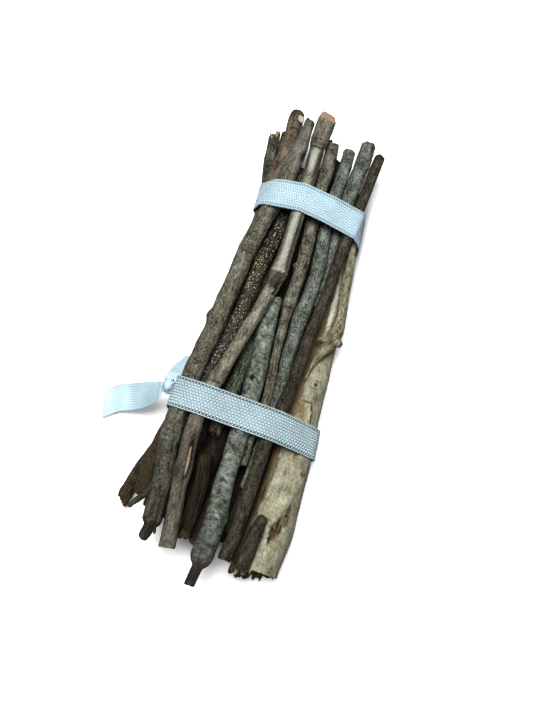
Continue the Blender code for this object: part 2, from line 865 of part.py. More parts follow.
def main():
    for obj in list(bpy.data.objects):
        bpy.data.objects.remove(obj)
    parts = bpy.data.collections.new("bundle_of_twigs")
    helpers = bpy.data.collections.new("helpers")
    for collection in (parts, helpers):
        bpy.context.scene.collection.children.link(collection)
    sticks = []
    for twig in TWIGS:
        sticks.append(Stick(twig, sticks))
    for stick in sticks:
        build_twig(stick, parts, helpers)
    build_band("upper_band", sticks, UPPER_BAND_Y, UPPER_BAND_WIDTH, parts)
    build_band("lower_band", sticks, LOWER_BAND_Y, LOWER_BAND_WIDTH, parts)
    build_knot(parts, helpers)
    build_tail("long_tail", LONG_TAIL, parts)
    build_tail("tucked_tail", TUCKED_TAIL, parts)
    shade(parts)
    centre_on_origin(parts, helpers)


if __name__ == "__main__":
    main()
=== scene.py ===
"""Looks of the bundle of twigs: bark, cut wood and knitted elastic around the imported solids.

Sizes in the classes are millimetres in the row frame: +Y runs towards the sticks' thin tops, +Z is
up and the pale log is at +X. A place on a stick is its y and its turn, in degrees round the stick
from +X towards +Z, so that 90 is the top. Every stick's line and thickness are read from its CAD
node, and its ends follow that node's cut ends.
"""

import logging
import math
from dataclasses import dataclass, field
from enum import Enum
from typing import Any, Sequence

import bmesh
import bpy
import numpy as np
from mathutils import Matrix, Vector
from mathutils.bvhtree import BVHTree


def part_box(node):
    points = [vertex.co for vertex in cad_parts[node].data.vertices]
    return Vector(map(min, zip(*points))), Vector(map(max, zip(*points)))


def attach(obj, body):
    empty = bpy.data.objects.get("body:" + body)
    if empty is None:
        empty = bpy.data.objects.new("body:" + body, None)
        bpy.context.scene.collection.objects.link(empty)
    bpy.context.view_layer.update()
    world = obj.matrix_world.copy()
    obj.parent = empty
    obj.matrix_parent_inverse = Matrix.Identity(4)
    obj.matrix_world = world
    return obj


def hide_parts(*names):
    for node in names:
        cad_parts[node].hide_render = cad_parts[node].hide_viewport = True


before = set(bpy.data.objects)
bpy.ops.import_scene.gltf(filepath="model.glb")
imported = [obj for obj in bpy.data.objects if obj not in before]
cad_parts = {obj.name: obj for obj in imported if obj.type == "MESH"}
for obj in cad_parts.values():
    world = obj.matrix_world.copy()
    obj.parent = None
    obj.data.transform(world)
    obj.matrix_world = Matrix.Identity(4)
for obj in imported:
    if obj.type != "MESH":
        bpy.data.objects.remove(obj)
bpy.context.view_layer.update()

Array = np.ndarray
Piece = bpy.types.Object
Socket = bpy.types.NodeSocket
Tree = bpy.types.NodeTree

MM = 0.001
LOG = logging.getLogger("bundle_of_twigs")

# The photograph's camera, worked out from the perspective of the sticks and the elastic's width
PHOTO_WIDTH, PHOTO_HEIGHT = 533, 711
FOCAL_PIXELS = 833.0
CAMERA_AZIMUTH, CAMERA_ELEVATION, CAMERA_DISTANCE = 19.0, 78.0, 350.0
LOOK_AT = (14.25, -6.8, 18.0)


class EndKind(Enum):
    """How a stick's end was made: its roughness in mm, its doming in radii, and how bare its wood is."""

    SAWN = (0.08, 0.0, 1.0)
    CLIPPED = (0.18, 0.0, 1.0)
    TORN = (0.75, 0.0, 1.0)
    SPLIT = (1.5, 0.0, 1.0)
    BLUNT = (0.12, 0.3, 0.0)
    ROUNDED = (0.1, 0.75, 0.0)

    @property
    def roughness(self) -> float:
        """Unevenness of the end face, in mm."""
        return self.value[0]

    @property
    def dome(self) -> float:
        """How far the rim lies under the middle, as a share of the radius."""
        return self.value[1]

    @property
    def bare(self) -> float:
        """Whether the end face shows cut wood, from 0 to 1."""
        return self.value[2]


class MarkKind(Enum):
    """What a mark does to a stick: the vertex attribute that it paints, or none."""

    SWELL = "none"
    SCAR = "wood"
    DARK = "dark"
    PALE = "pale"
    WARM = "warm"


class Speckle(Enum):
    """The small marks that a kind of bark carries all over."""

    NONE = 0
    DOTS = 1
    LENTICELS = 2


PAINTED = ("wood", "dark", "pale", "warm")


@dataclass(frozen=True)
class Mark:
    """One knot, scar, stain or groove: where, how long and wide in mm, how far out, how strong.

    A few pale marks are a painted highlight and a few broad dark marks are painted shade. The larger edge is,
    the steeper its sides.
    """

    kind: MarkKind
    y: float
    turn: float
    length: float
    width: float
    out: float = 0.0
    strength: float = 1.0
    edge: float = 2.0


@dataclass(frozen=True)
class SideStub:
    """The short rest of a side branch: its place, lean to the top, length past the bark, radius.

    Its tip's radius is a share of its foot's, bare says whether its end shows wood, and shade how dark it is.
    """

    y: float
    turn: float
    lean: float
    length: float
    radius: float
    tip: float = 0.85
    bare: float = 1.0
    shade: float = 0.0


def linear(hex_colour: str) -> tuple[float, float, float, float]:
    """Turns an sRGB hex value to a linear colour.

    Args:
        hex_colour: six hex digits after a hash sign.

    Returns:
        Red, green, blue and alpha.
    """
    parts = [int(hex_colour[i : i + 2], 16) / 255 for i in (1, 3, 5)]
    lit = [part / 12.92 if part <= 0.04045 else ((part + 0.055) / 1.055) ** 2.4 for part in parts]
    return lit[0], lit[1], lit[2], 1.0


def add_node(
    tree: Tree,
    kind: str,
    inputs: dict[Any, Any] | None = None,
    settings: dict[str, Any] | None = None,
    stops: Sequence[tuple[float, Any]] = (),
) -> bpy.types.Node:
    """Adds a node with its settings, inputs and links.

    Args:
        tree: the tree that gets the node.
        kind: the node's type name.
        inputs: by each input's name or place, the socket that feeds it or its value.
        settings: properties of the node.
        stops: a ramp's places and colours.

    Returns:
        The new node. A colour is a hex value here, or a number for a grey.
    """
    made = tree.nodes.new(kind)
    for name, value in (settings or {}).items():
        setattr(made, name, value)
    for key, value in (inputs or {}).items():
        if isinstance(value, Socket):
            tree.links.new(value, made.inputs[key])
        else:
            made.inputs[key].default_value = linear(value) if str(value).startswith("#") else value
    while stops and len(made.color_ramp.elements) < len(stops):
        made.color_ramp.elements.new(0.5)
    for number, (place, colour) in enumerate(stops):
        element = made.color_ramp.elements[number]
        element.position = place
        element.color = linear(colour) if isinstance(colour, str) else (colour, colour, colour, 1.0)
    return made


def new_material(name: str) -> tuple[bpy.types.Material, Tree, bpy.types.Node]:
    """Makes a material with only an output and a Principled shader.

    Args:
        name: the material's name.

    Returns:
        The material, its tree and its shader node.
    """
    material = bpy.data.materials.new(name)
    material.use_nodes = True
    tree = material.node_tree
    tree.nodes.clear()
    shader = add_node(tree, "ShaderNodeBsdfPrincipled")
    add_node(tree, "ShaderNodeOutputMaterial", {"Surface": shader.outputs[0]})
    return material, tree, shader


class MattFinish:
    """What bark and elastic share: a matt surface whose colour and fine bumps come from a pattern.

    The bumps' depth is in millimetres.
    """

    name: str
    roughness: float
    SPECULAR = 0.3
    BUMP_STRENGTH = 0.7
    BUMP_DEPTH = 0.2

    def surface(self, tree: Tree) -> tuple[Socket, Socket]:
        """Adds the finish's pattern and returns its colour's and its height's socket."""
        raise NotImplementedError

    def material(self) -> bpy.types.Material:
        """Builds the finish's material, once.

        Returns:
            The material, which every piece of this finish shares.
        """
        found = bpy.data.materials.get(self.name)
        if found:
            return found
        material, tree, shader = new_material(self.name)
        colour, height = self.surface(tree)
        tree.links.new(colour, shader.inputs["Base Color"])
        shader.inputs["Roughness"].default_value = self.roughness
        shader.inputs["Specular IOR Level"].default_value = self.SPECULAR
        bumps = {"Strength": self.BUMP_STRENGTH, "Distance": self.BUMP_DEPTH * MM, "Height": height}
        tree.links.new(add_node(tree, "ShaderNodeBump", bumps).outputs[0], shader.inputs["Normal"])
        return material


# A colour Mix node's factor and two colours are its inputs 0, 6 and 7, and its result is output 2.
BLEND = {"data_type": "RGBA"}
MULTIPLY = {"data_type": "RGBA", "blend_type": "MULTIPLY"}
SOFT_LIGHT = {"data_type": "RGBA", "blend_type": "SOFT_LIGHT"}


@dataclass(frozen=True)
class BarkFinish(MattFinish):
    """One kind of bark: its four colours from crevice to flake, its pattern and its relief.

    Sizes are in millimetres. The pattern reads the attribute "bark", which holds the place on the
    stick as if it were straight, so that it follows every bend.
    """

    name: str
    slot: str
    crevice: str
    body: str
    ridge: str
    flake: str
    tint: str = "#4a4a38"
    tint_share: float = 0.3
    fleck: float = 0.42
    fleck_stretch: float = 2.0
    fleck_depth: float = 0.6
    ridge_width: float = 1.3
    ridge_length: float = 6.0
    ridge_depth: float = 0.28
    wrinkle_depth: float = 0.08
    crack_share: float = 0.5
    speckle: Speckle = Speckle.NONE
    speckle_colour: str = "#b9a46a"
    warm: str = "#6d3d24"
    pale: str = "#9a9a86"
    wood: str = "#7d6c52"
    core: str = "#4b3d2c"
    roughness: float = 0.82

    DARK_PAINT = "#120d09"
    RING_TURNS = 7.0
    RING_BEND = 9.0

    def surface(self, tree: Tree) -> tuple[Socket, Socket]:
        """Adds the bark's pattern, with scars and cut wood over it.

        Args:
            tree: the material's tree.

        Returns:
            The colour's socket and the height's.
        """
        bark = add_node(tree, "ShaderNodeAttribute", settings={"attribute_name": "bark"}).outputs["Vector"]
        colour, height = self.bark_colour(tree, bark)
        return self.painted_colour(tree, bark, colour), height

    def scaled(self, tree: Tree, bark: Socket, across: float, along: float) -> Any:
        """The place on the stick in steps of one size across it and another along it, in mm."""
        inputs = {0: bark, 1: (1 / across, 1 / across, 1 / along)}
        return add_node(tree, "ShaderNodeVectorMath", inputs, {"operation": "MULTIPLY"}).outputs[0]

    def noise(
        self,
        tree: Tree,
        bark: Socket,
        across: float,
        along: float,
        detail: float = 3.0,
        roughness: float = 0.6,
    ) -> Socket:
        """Adds noise of one size across the stick and another along it.

        Args:
            tree: the material's tree.
            bark: the socket with the place on the stick, in mm.
            across: size of a patch round the stick, in mm.
            along: size of a patch along the stick, in mm.
            detail: number of finer layers.
            roughness: strength of the finer layers.

        Returns:
            The noise value's socket, near 0.5 on average.
        """
        place = self.scaled(tree, bark, across, along)
        inputs = {"Scale": 1.0, "Detail": detail, "Roughness": roughness, "Vector": place}
        return add_node(tree, "ShaderNodeTexNoise", inputs).outputs["Fac"]

    def bark_colour(self, tree: Tree, bark: Socket) -> tuple[Socket, Socket]:
        """Adds the bark's own colours: flecks over relief, tinted patches, cracks and speckles.

        Args:
            tree: the material's tree.
            bark: the socket with the place on the stick, in mm.

        Returns:
            The colour's socket and a height socket for the bump.
        """
        ramp, mix = "ShaderNodeValToRGB", "ShaderNodeMix"
        broad = self.noise(tree, bark, 2.6, 2.6 * self.fleck_stretch, 3.0, 0.55)
        relief = add_node(tree, "ShaderNodeAttribute", settings={"attribute_name": "relief"}).outputs["Fac"]
        level = add_node(tree, "ShaderNodeMath", {0: relief, 1: 0.3, 2: broad}, {"operation": "MULTIPLY_ADD"})
        shades = ((0.36, self.crevice), (0.56, self.body), (0.8, self.ridge), (1.0, self.flake))
        colour = add_node(tree, ramp, {0: level.outputs[0]}, stops=shades).outputs[0]
        fewer = 0.3 * self.tint_share
        patches = {0: self.noise(tree, bark, 5.0, 11.0)}
        share = add_node(tree, ramp, patches, stops=((0.62 - fewer, 0.0), (0.78 - fewer, 0.75))).outputs[0]
        tinted = add_node(tree, mix, {0: 1.0, 6: colour, 7: self.tint}, SOFT_LIGHT).outputs[2]
        colour = add_node(tree, mix, {0: share, 6: colour, 7: tinted}, BLEND).outputs[2]
        flecks = self.noise(tree, bark, self.fleck, self.fleck * self.fleck_stretch, 2.0, 0.6)
        light = add_node(tree, ramp, {0: flecks}, stops=((0.55, 0.0), (0.64, self.fleck_depth))).outputs[0]
        colour = add_node(tree, mix, {0: light, 6: colour, 7: self.flake}, BLEND).outputs[2]
        unlit = 1.0 - self.fleck_depth
        hollows = add_node(tree, ramp, {0: flecks}, stops=((0.37, unlit), (0.46, 1.0))).outputs[0]
        colour = add_node(tree, mix, {0: 1.0, 6: colour, 7: hollows}, MULTIPLY).outputs[2]
        cracks = self.noise(tree, bark, 0.9, 7.5, 3.0, 0.65)
        dark = 1.0 - 0.75 * self.crack_share
        lines = add_node(tree, ramp, {0: cracks}, stops=((0.40, 1.0), (0.455, dark), (0.49, 1.0))).outputs[0]
        colour = add_node(tree, mix, {0: 1.0, 6: colour, 7: lines}, MULTIPLY).outputs[2]
        if self.speckle is not Speckle.NONE:
            colour = self.speckled(tree, bark, colour)
        return colour, add_node(tree, mix, {0: 0.5, 6: flecks, 7: lines}, BLEND).outputs[2]

    def speckled(self, tree: Tree, bark: Socket, colour: Socket) -> Socket:
        """Adds pale dots, or the short cross marks of lenticels.

        Args:
            tree: the material's tree.
            bark: the socket with the place on the stick, in mm.
            colour: the bark's colour so far.

        Returns:
            The colour's socket with the marks.
        """
        ramp, mix = "ShaderNodeValToRGB", "ShaderNodeMix"
        dots = self.speckle is Speckle.DOTS
        # Dots are 0.5 mm across and 1 mm apart; lenticels are 1.4 mm wide and 0.5 mm high.
        across, along, size = (0.85, 1.0, 0.4) if dots else (2.9, 1.15, 0.3)
        place = self.scaled(tree, bark, across, along)
        cells = add_node(tree, "ShaderNodeTexVoronoi", {"Scale": 1.0, "Randomness": 1.0, "Vector": place})
        near = {0: cells.outputs["Distance"]}
        spots = add_node(tree, ramp, near, stops=((size * 0.55, 1.0), (size, 0.0))).outputs[0]
        where = {0: self.noise(tree, bark, 2.4, 6.0)}
        present = add_node(tree, ramp, where, stops=((0.36, 0.1), (0.5, 0.95))).outputs[0]
        both = add_node(tree, mix, {0: 1.0, 6: spots, 7: present}, MULTIPLY).outputs[2]
        over = self.speckle_colour
        if dots:
            hues = ((0.4, self.speckle_colour), (0.75, self.wood))
            over = add_node(tree, ramp, {0: cells.outputs["Color"]}, stops=hues).outputs[0]
        return add_node(tree, mix, {0: both, 6: colour, 7: over}, BLEND).outputs[2]

    def painted_colour(self, tree: Tree, bark: Socket, colour: Socket) -> Socket:
        """Adds what the vertex attributes paint: pale and warm patches, bare wood, dark places, cuts.

        Args:
            tree: the material's tree.
            bark: the socket with the place on the stick, in mm.
            colour: the bark's colour.

        Returns:
            The final colour's socket.
        """
        ramp, mix = "ShaderNodeValToRGB", "ShaderNodeMix"
        masks = {
            name: add_node(tree, "ShaderNodeAttribute", settings={"attribute_name": name}).outputs["Fac"]
            for name in (*PAINTED, "cut")
        }
        grain = self.noise(tree, bark, 0.5, 6.0, 4.0, 0.7)
        # Pale paint is mostly pale bark; on the speckled twig it is a painted highlight streak.
        for name, paint in (("pale", self.pale), ("warm", self.warm)):
            thin = add_node(tree, ramp, {0: grain}, stops=((0.35, 0.55), (0.62, 0.0))).outputs[0]
            shaded = add_node(tree, mix, {0: thin, 6: paint, 7: colour}, BLEND).outputs[2]
            if name == "warm":
                split = ((0.43, 1.0), (0.47, 0.3), (0.51, 1.0))
                split = add_node(tree, ramp, {0: grain}, stops=split).outputs[0]
                shaded = add_node(tree, mix, {0: 1.0, 6: shaded, 7: split}, MULTIPLY).outputs[2]
            colour = add_node(tree, mix, {0: masks[name], 6: colour, 7: shaded}, BLEND).outputs[2]
        fibres = add_node(tree, ramp, {0: grain}, stops=((0.36, self.core), (0.56, self.wood))).outputs[0]
        bare = add_node(tree, ramp, {0: masks["wood"]}, stops=((0.5, 0.0), (0.62, 1.0))).outputs[0]
        colour = add_node(tree, mix, {0: bare, 6: colour, 7: fibres}, BLEND).outputs[2]
        rim = ((0.12, 1.0), (0.42, 0.25), (0.66, 1.0))
        rim = add_node(tree, ramp, {0: masks["wood"]}, stops=rim).outputs[0]
        colour = add_node(tree, mix, {0: 1.0, 6: colour, 7: rim}, MULTIPLY).outputs[2]
        cut = add_node(tree, ramp, {0: masks["cut"]}, stops=((0.45, 0.0), (0.6, 1.0))).outputs[0]
        rings = self.end_grain(tree, bark)
        colour = add_node(tree, mix, {0: cut, 6: colour, 7: rings}, BLEND).outputs[2]
        # Dark paint is dark bark and grooves, and on the lower ends of some sticks it is painted shade.
        return add_node(tree, mix, {0: masks["dark"], 6: colour, 7: self.DARK_PAINT}, BLEND).outputs[2]

    def end_grain(self, tree: Tree, bark: Socket) -> Socket:
        """Adds cut wood with a yearly ring every 0.9 mm round the pith, bent by noise.

        Args:
            tree: the material's tree.
            bark: the socket with the place on the stick, in mm.

        Returns:
            The cut wood's colour socket.
        """
        vector, number, add = "ShaderNodeVectorMath", "ShaderNodeMath", {"operation": "MULTIPLY_ADD"}
        flat = add_node(tree, vector, {0: bark, 1: (1.0, 1.0, 0.0)}, {"operation": "MULTIPLY"}).outputs[0]
        radius = add_node(tree, vector, {0: flat}, {"operation": "LENGTH"}).outputs["Value"]
        uneven = self.noise(tree, bark, 1.6, 1.6, 3.0)
        bend = add_node(tree, number, {0: uneven, 1: self.RING_BEND}, {"operation": "MULTIPLY"}).outputs[0]
        phase = add_node(tree, number, {0: radius, 1: self.RING_TURNS, 2: bend}, add).outputs[0]
        wave = add_node(tree, number, {0: phase}, {"operation": "SINE"}).outputs[0]
        level = add_node(tree, number, {0: wave, 1: 0.18, 2: uneven}, add).outputs[0]
        hues = ((0.3, self.core), (0.6, self.wood))
        return add_node(tree, "ShaderNodeValToRGB", {0: level}, stops=hues).outputs[0]



GREY = BarkFinish(
    "weathered_grey_bark", "grey_bark", "#1f1c12", "#5b584a", "#7f7f71", "#a3a397", tint="#5f5540",
    warm="#3a2e1e", pale="#90928e",
)
FLAKING = BarkFinish(
    "flaking_brown_bark", "grey_bark", "#14110a", "#3d3524", "#5a4f39", "#776c54", tint="#4d3b1f",
    ridge_length=8.0, crack_share=0.8, warm="#4a3618",
)
SHADED_TAN = BarkFinish(
    "shaded_tan_bark", "tan_bark", "#15130c", "#2e2a1e", "#453f30", "#5d5645", tint="#453a26",
)
GREY_DARK = BarkFinish(
    "shaded_grey_bark", "grey_bark", "#17150e", "#353227", "#4d4a3e", "#6a685b", tint="#504836",
)
MOSSY = BarkFinish(
    "mossy_grey_bark", "green_bark", "#1c1c13", "#46453a", "#676657", "#8f8c78", tint="#4c5238",
    wood="#b5ab80",
)
GREEN = BarkFinish(
    "greenish_smooth_bark", "green_bark", "#14170f", "#464d42", "#6b7365", "#959d8a", tint="#4f5b42",
    crack_share=0.3,
)
TAN = BarkFinish(
    "smooth_tan_bark", "tan_bark", "#3a3224", "#757263", "#918f82", "#b2b3a7", tint="#6f664f",
    tint_share=0.15, fleck=0.42, fleck_stretch=2.6, fleck_depth=0.5, ridge_depth=0.1, crack_share=0.3,
    warm="#4a342a", pale="#b2b6ac",
    wood="#b9a593", core="#9a8571",
)
BROWN = BarkFinish(
    "fibrous_brown_bark", "brown_bark", "#241d13", "#655a49", "#7f7464", "#9a9282", tint="#6b5238",
    tint_share=0.2, ridge_length=9.0, ridge_depth=0.16, warm="#453820", wood="#cfcdba", core="#b3ae98",
)
RUSSET = BarkFinish(
    "russet_bark", "brown_bark", "#0b0804", "#221c12", "#362d1f", "#4e4333", tint="#36291a", warm="#2b2011",
    ridge_length=8.0,
)
RIDGED = BarkFinish(
    "deeply_ridged_bark", "brown_bark", "#0a0804", "#241f15", "#3a3224", "#584c36", tint="#33291a",
    fleck=0.4, fleck_stretch=40.0, fleck_depth=0.85, ridge_width=1.0, ridge_length=22.0, ridge_depth=0.35,
    crack_share=0.5, warm="#4a3a20",
)
# Its pale colour is the grey of a painted highlight streak along its top.
SPECKLED = BarkFinish(
    "speckled_dark_bark", "speckled_bark", "#0d0c07", "#2b2920", "#4b493e", "#6e6b5e", tint="#3d3122",
    speckle=Speckle.DOTS, speckle_colour="#a7935f", pale="#555b5e", wood="#c9c5b4", ridge_depth=0.16,
)
LENTICEL = BarkFinish(
    "cross_marked_grey_bark", "lenticel_bark", "#2b2a20", "#61655a", "#8b928a", "#b7bfb8", tint="#5b5e4b",
    fleck=0.5, fleck_stretch=0.8, fleck_depth=0.3, ridge_width=3.2, ridge_length=1.1, ridge_depth=0.03,
    wrinkle_depth=0.03, crack_share=0.1, speckle=Speckle.LENTICELS, speckle_colour="#302e25",
)
LICHEN = BarkFinish(
    "wrinkled_lichen_bark", "lichen_bark", "#23241d", "#5a5e56", "#7c8279", "#a4aaa1", tint="#5c6657",
    ridge_width=1.6, ridge_length=2.2, ridge_depth=0.15, wrinkle_depth=0.16, crack_share=0.35,
)
PURPLE = BarkFinish(
    "purple_brown_bark", "purple_bark", "#16130d", "#3d392f", "#575246", "#767165", tint="#3f372b",
    ridge_length=9.0, ridge_depth=0.18,
)
DARK = BarkFinish("dark_rough_bark", "dark_bark", "#0c0a06", "#2c2a21", "#4a473c", "#6a6759", tint="#34301f")
STUMP = BarkFinish(
    "dark_stub_bark", "dark_bark", "#16150f", "#3a382c", "#545142", "#6f6b5c", tint="#403b2c",
    ridge_depth=0.2,
)
TORN_WOOD = BarkFinish(
    "weathered_torn_wood", "pale_wood", "#443d2a", "#7d7861", "#9a967f", "#b6b4a0", tint="#8a774f",
    ridge_width=0.9, ridge_length=12.0, ridge_depth=0.16, warm="#6d4c2c", pale="#c9c0a2", wood="#a79f86",
)
LOG_BARK = BarkFinish(
    "cream_log_bark", "pale_wood", "#69644f", "#8f8c78", "#a9a894", "#c8c7b5", tint="#8f8564",
    tint_share=0.3, fleck=0.6, fleck_stretch=1.8, fleck_depth=0.3, ridge_width=4.5, ridge_length=12.0,
    ridge_depth=0.14, wrinkle_depth=0.06, crack_share=0.25, warm="#85704a", pale="#d6d6c8",
    wood="#6d5637", core="#33271a",
)


def unit(vectors: Array) -> Array:
    """The rows of an array at length 1."""
    return vectors / np.linalg.norm(vectors, axis=1)[:, None]


class Solid:
    """A CAD node, read as welded points and triangles in millimetres."""

    # The CAD section's corners lie on the stick, so its area is a little less than the stick's.
    ROUNDING = 1.03

    def __init__(self, node: str) -> None:
        """Reads the node's mesh.

        Args:
            node: the CAD node's name.
        """
        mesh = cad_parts[node].data
        mesh.calc_loop_triangles()
        points = np.empty(len(mesh.vertices) * 3)
        mesh.vertices.foreach_get("co", points)
        corners = np.empty(len(mesh.loop_triangles) * 3, int)
        mesh.loop_triangles.foreach_get("vertices", corners)
        points = points.reshape(-1, 3) / MM
        _, first, index = np.unique(np.round(points, 3), axis=0, return_index=True, return_inverse=True)
        self.points = points[first]
        self.faces = index.reshape(-1)[corners].reshape(-1, 3)
        self.tree = BVHTree.FromPolygons(self.points.tolist(), self.faces.tolist())
        pairs = np.concatenate([self.faces[:, [0, 1]], self.faces[:, [1, 2]], self.faces[:, [2, 0]]])
        self.edges = np.unique(np.sort(pairs, axis=1), axis=0)

    def section(self, y: float) -> tuple[float, float, float]:
        """Cuts the solid across Y.

        Args:
            y: where it is cut, in mm.

        Returns:
            The section's centre x and z and the radius of a circle of its area.
        """
        a, b = self.points[self.edges[:, 0]], self.points[self.edges[:, 1]]
        crossing = (a[:, 1] - y) * (b[:, 1] - y) < 0
        a, b = a[crossing], b[crossing]
        hits = a + (b - a) * ((y - a[:, 1]) / (b[:, 1] - a[:, 1]))[:, None]
        x, z = hits[:, 0], hits[:, 2]
        order = np.argsort(np.arctan2(z - z.mean(), x - x.mean()))
        x, z = x[order], z[order]
        cross = x * np.roll(z, -1) - np.roll(x, -1) * z
        area = cross.sum() / 2
        centre_x = ((x + np.roll(x, -1)) * cross).sum() / (6 * area)
        centre_z = ((z + np.roll(z, -1)) * cross).sum() / (6 * area)
        return centre_x, centre_z, math.sqrt(abs(area) / math.pi) * self.ROUNDING

    def first_hit(self, start: Vector, way: Vector) -> Vector | None:
        """The first point of the solid on a ray, or None."""
        return self.tree.ray_cast(start, way)[0]


def new_piece(name: str, points: Array, faces: Sequence[Sequence[int]]) -> Piece:
    """Makes an object at the origin from points in millimetres.

    Args:
        name: the piece's name.
        points: places in mm.
        faces: corner numbers of each face.

    Returns:
        The new object.
    """
    mesh = bpy.data.meshes.new(name)
    mesh.from_pydata((points * MM).tolist(), [], [tuple(face) for face in faces])
    mesh.validate()
    mesh.shade_smooth()
    piece = bpy.data.objects.new(name, mesh)
    bpy.context.scene.collection.objects.link(piece)
    return piece


def face_outwards(piece: Piece) -> None:
    """Recalculates the normals of a closed mesh so that they point outwards.

    Args:
        piece: the object.
    """
    shape = bmesh.new()
    shape.from_mesh(piece.data)
    bmesh.ops.recalc_face_normals(shape, faces=shape.faces)
    shape.to_mesh(piece.data)
    shape.free()


def store(piece: Piece, name: str, values: Array, domain: str = "POINT") -> None:
    """Stores a float or vector attribute on a mesh.

    Args:
        piece: the object.
        name: the attribute's name.
        values: one number or one vector for each point or face.
        domain: POINT or FACE.
    """
    vector = values.ndim == 2
    attribute = piece.data.attributes.new(name, "FLOAT_VECTOR" if vector else "FLOAT", domain)
    attribute.data.foreach_set("vector" if vector else "value", values.astype(np.float32).ravel())


def use_nodes(piece: Piece, group: Tree, inputs: dict[str, Any]) -> None:
    """Runs a Geometry Nodes group on a piece and keeps the result as its plain mesh.

    Args:
        piece: the object.
        group: the node group.
        inputs: values by the input's name.
    """
    modifier = piece.modifiers.new(group.name, "NODES")
    modifier.node_group = group
    for item in group.interface.items_tree:
        if item.in_out == "INPUT" and item.name in inputs:
            modifier[item.identifier] = inputs[item.name]
    bpy.context.view_layer.update()
    evaluated = piece.evaluated_get(bpy.context.evaluated_depsgraph_get())
    mesh = bpy.data.meshes.new_from_object(evaluated)
    piece.modifiers.remove(modifier)
    old = piece.data
    piece.data = mesh
    mesh.name = piece.name
    bpy.data.meshes.remove(old)


def group_with_inputs(name: str, inputs: Sequence[tuple[str, str, Any]]) -> tuple[Any, Any]:
    """Makes an empty Geometry Nodes group.

    Args:
        name: the group's name.
        inputs: name, socket type and first value of each input after the geometry.

    Returns:
        The group and its input node.
    """
    group = bpy.data.node_groups.new(name, "GeometryNodeTree")
    group.interface.new_socket("Geometry", in_out="INPUT", socket_type="NodeSocketGeometry")
    group.interface.new_socket("Geometry", in_out="OUTPUT", socket_type="NodeSocketGeometry")
    for label, kind, value in inputs:
        socket = group.interface.new_socket(label, in_out="INPUT", socket_type=kind)
        if value is not None:
            socket.default_value = value
    return group, group.nodes.new("NodeGroupInput")


def finish_group(group: Tree, geometry: Any, material: Any) -> None:
    """Ends a group in Realize Instances and Set Material.

    Args:
        group: the group.
        geometry: the socket of its finished geometry.
        material: the socket of its material.
    """
    real = add_node(group, "GeometryNodeRealizeInstances", {"Geometry": geometry}).outputs["Geometry"]
    dressed = add_node(group, "GeometryNodeSetMaterial", {"Geometry": real, "Material": material})
    add_node(group, "NodeGroupOutput", {"Geometry": dressed.outputs["Geometry"]})


def bark_relief_group() -> Tree:
    """Builds the relief of bark: long ridges and cross wrinkles along the normals.

    Returns:
        The group. Its widths and lengths are in mm and its depths in metres.
    """
    sizes = (("Ridge Width", 1.3), ("Ridge Length", 6.0), ("Ridge Depth", 0.0002), ("Wrinkle Depth", 0.00005))
    inputs = [(label, "NodeSocketFloat", value) for label, value in (*sizes, ("Seed", 1.0))]
    group, given = group_with_inputs("bark_relief", (*inputs, ("Material", "NodeSocketMaterial", None)))
    known: dict[Any, Any] = {label: given.outputs[label] for label, _, _ in inputs}
    for name, kind in (("bark", "FLOAT_VECTOR"), ("cut", "FLOAT"), ("wood", "FLOAT")):
        read = add_node(group, "GeometryNodeInputNamedAttribute", {"Name": name}, {"data_type": kind})
        known[name] = read.outputs[0]
    wrinkle_size = (2.6, 0.9)
    for name, width, length, detail in (
        ("ridges", known["Ridge Width"], known["Ridge Length"], 3.0),
        ("wrinkles", *wrinkle_size, 2.0),
    ):
        across, along = (
            add_node(group, "ShaderNodeMath", {0: 1.0, 1: size}, {"operation": "DIVIDE"}).outputs[0]
            for size in (width, length)
        )
        scale = add_node(group, "ShaderNodeCombineXYZ", {0: across, 1: across, 2: along}).outputs[0]
        place = add_node(
            group, "ShaderNodeVectorMath", {0: known["bark"], 1: scale}, {"operation": "MULTIPLY"}
        ).outputs[0]
        waves = {"Vector": place, "W": known["Seed"], "Scale": 1.0, "Detail": detail, "Roughness": 0.6}
        noise = add_node(group, "ShaderNodeTexNoise", waves, {"noise_dimensions": "4D"}).outputs["Fac"]
        spread = {"Value": noise, "From Min": 0.3, "From Max": 0.7, "To Min": -1.0, "To Max": 1.0}
        known[name] = add_node(group, "ShaderNodeMapRange", spread).outputs["Result"]
    # Each row is a sum or product of earlier rows: no relief on cuts, little on bare wood.
    for name, operation, first, second in (
        ("uncut", "SUBTRACT", 1.0, "cut"),
        ("bare", "MULTIPLY", "wood", 0.8),
        ("barked", "SUBTRACT", 1.0, "bare"),
        ("free", "MULTIPLY", "uncut", "barked"),
        ("ridge lift", "MULTIPLY", "ridges", "Ridge Depth"),
        ("wrinkle lift", "MULTIPLY", "wrinkles", "Wrinkle Depth"),
        ("full lift", "ADD", "ridge lift", "wrinkle lift"),
        ("lift", "MULTIPLY", "full lift", "free"),
        ("ridge part", "MULTIPLY", "ridges", 0.7),
        ("wrinkle part", "MULTIPLY", "wrinkles", 0.3),
        ("both", "ADD", "ridge part", "wrinkle part"),
        ("half", "MULTIPLY", "both", 0.5),
        ("relief", "ADD", "half", 0.5),
    ):
        terms = {place: known.get(term, term) for place, term in enumerate((first, second))}
        known[name] = add_node(group, "ShaderNodeMath", terms, {"operation": operation}).outputs[0]
    normal = add_node(group, "GeometryNodeInputNormal").outputs[0]
    offset = add_node(
        group, "ShaderNodeVectorMath", {0: normal, "Scale": known["lift"]}, {"operation": "SCALE"}
    ).outputs[0]
    moved = add_node(
        group, "GeometryNodeSetPosition", {"Geometry": given.outputs["Geometry"], "Offset": offset}
    ).outputs["Geometry"]
    kept = add_node(
        group,
        "GeometryNodeStoreNamedAttribute",
        {"Geometry": moved, "Name": "relief", "Value": known["relief"]},
        {"data_type": "FLOAT", "domain": "POINT"},
    )
    finish_group(group, kept.outputs["Geometry"], given.outputs["Material"])
    return group


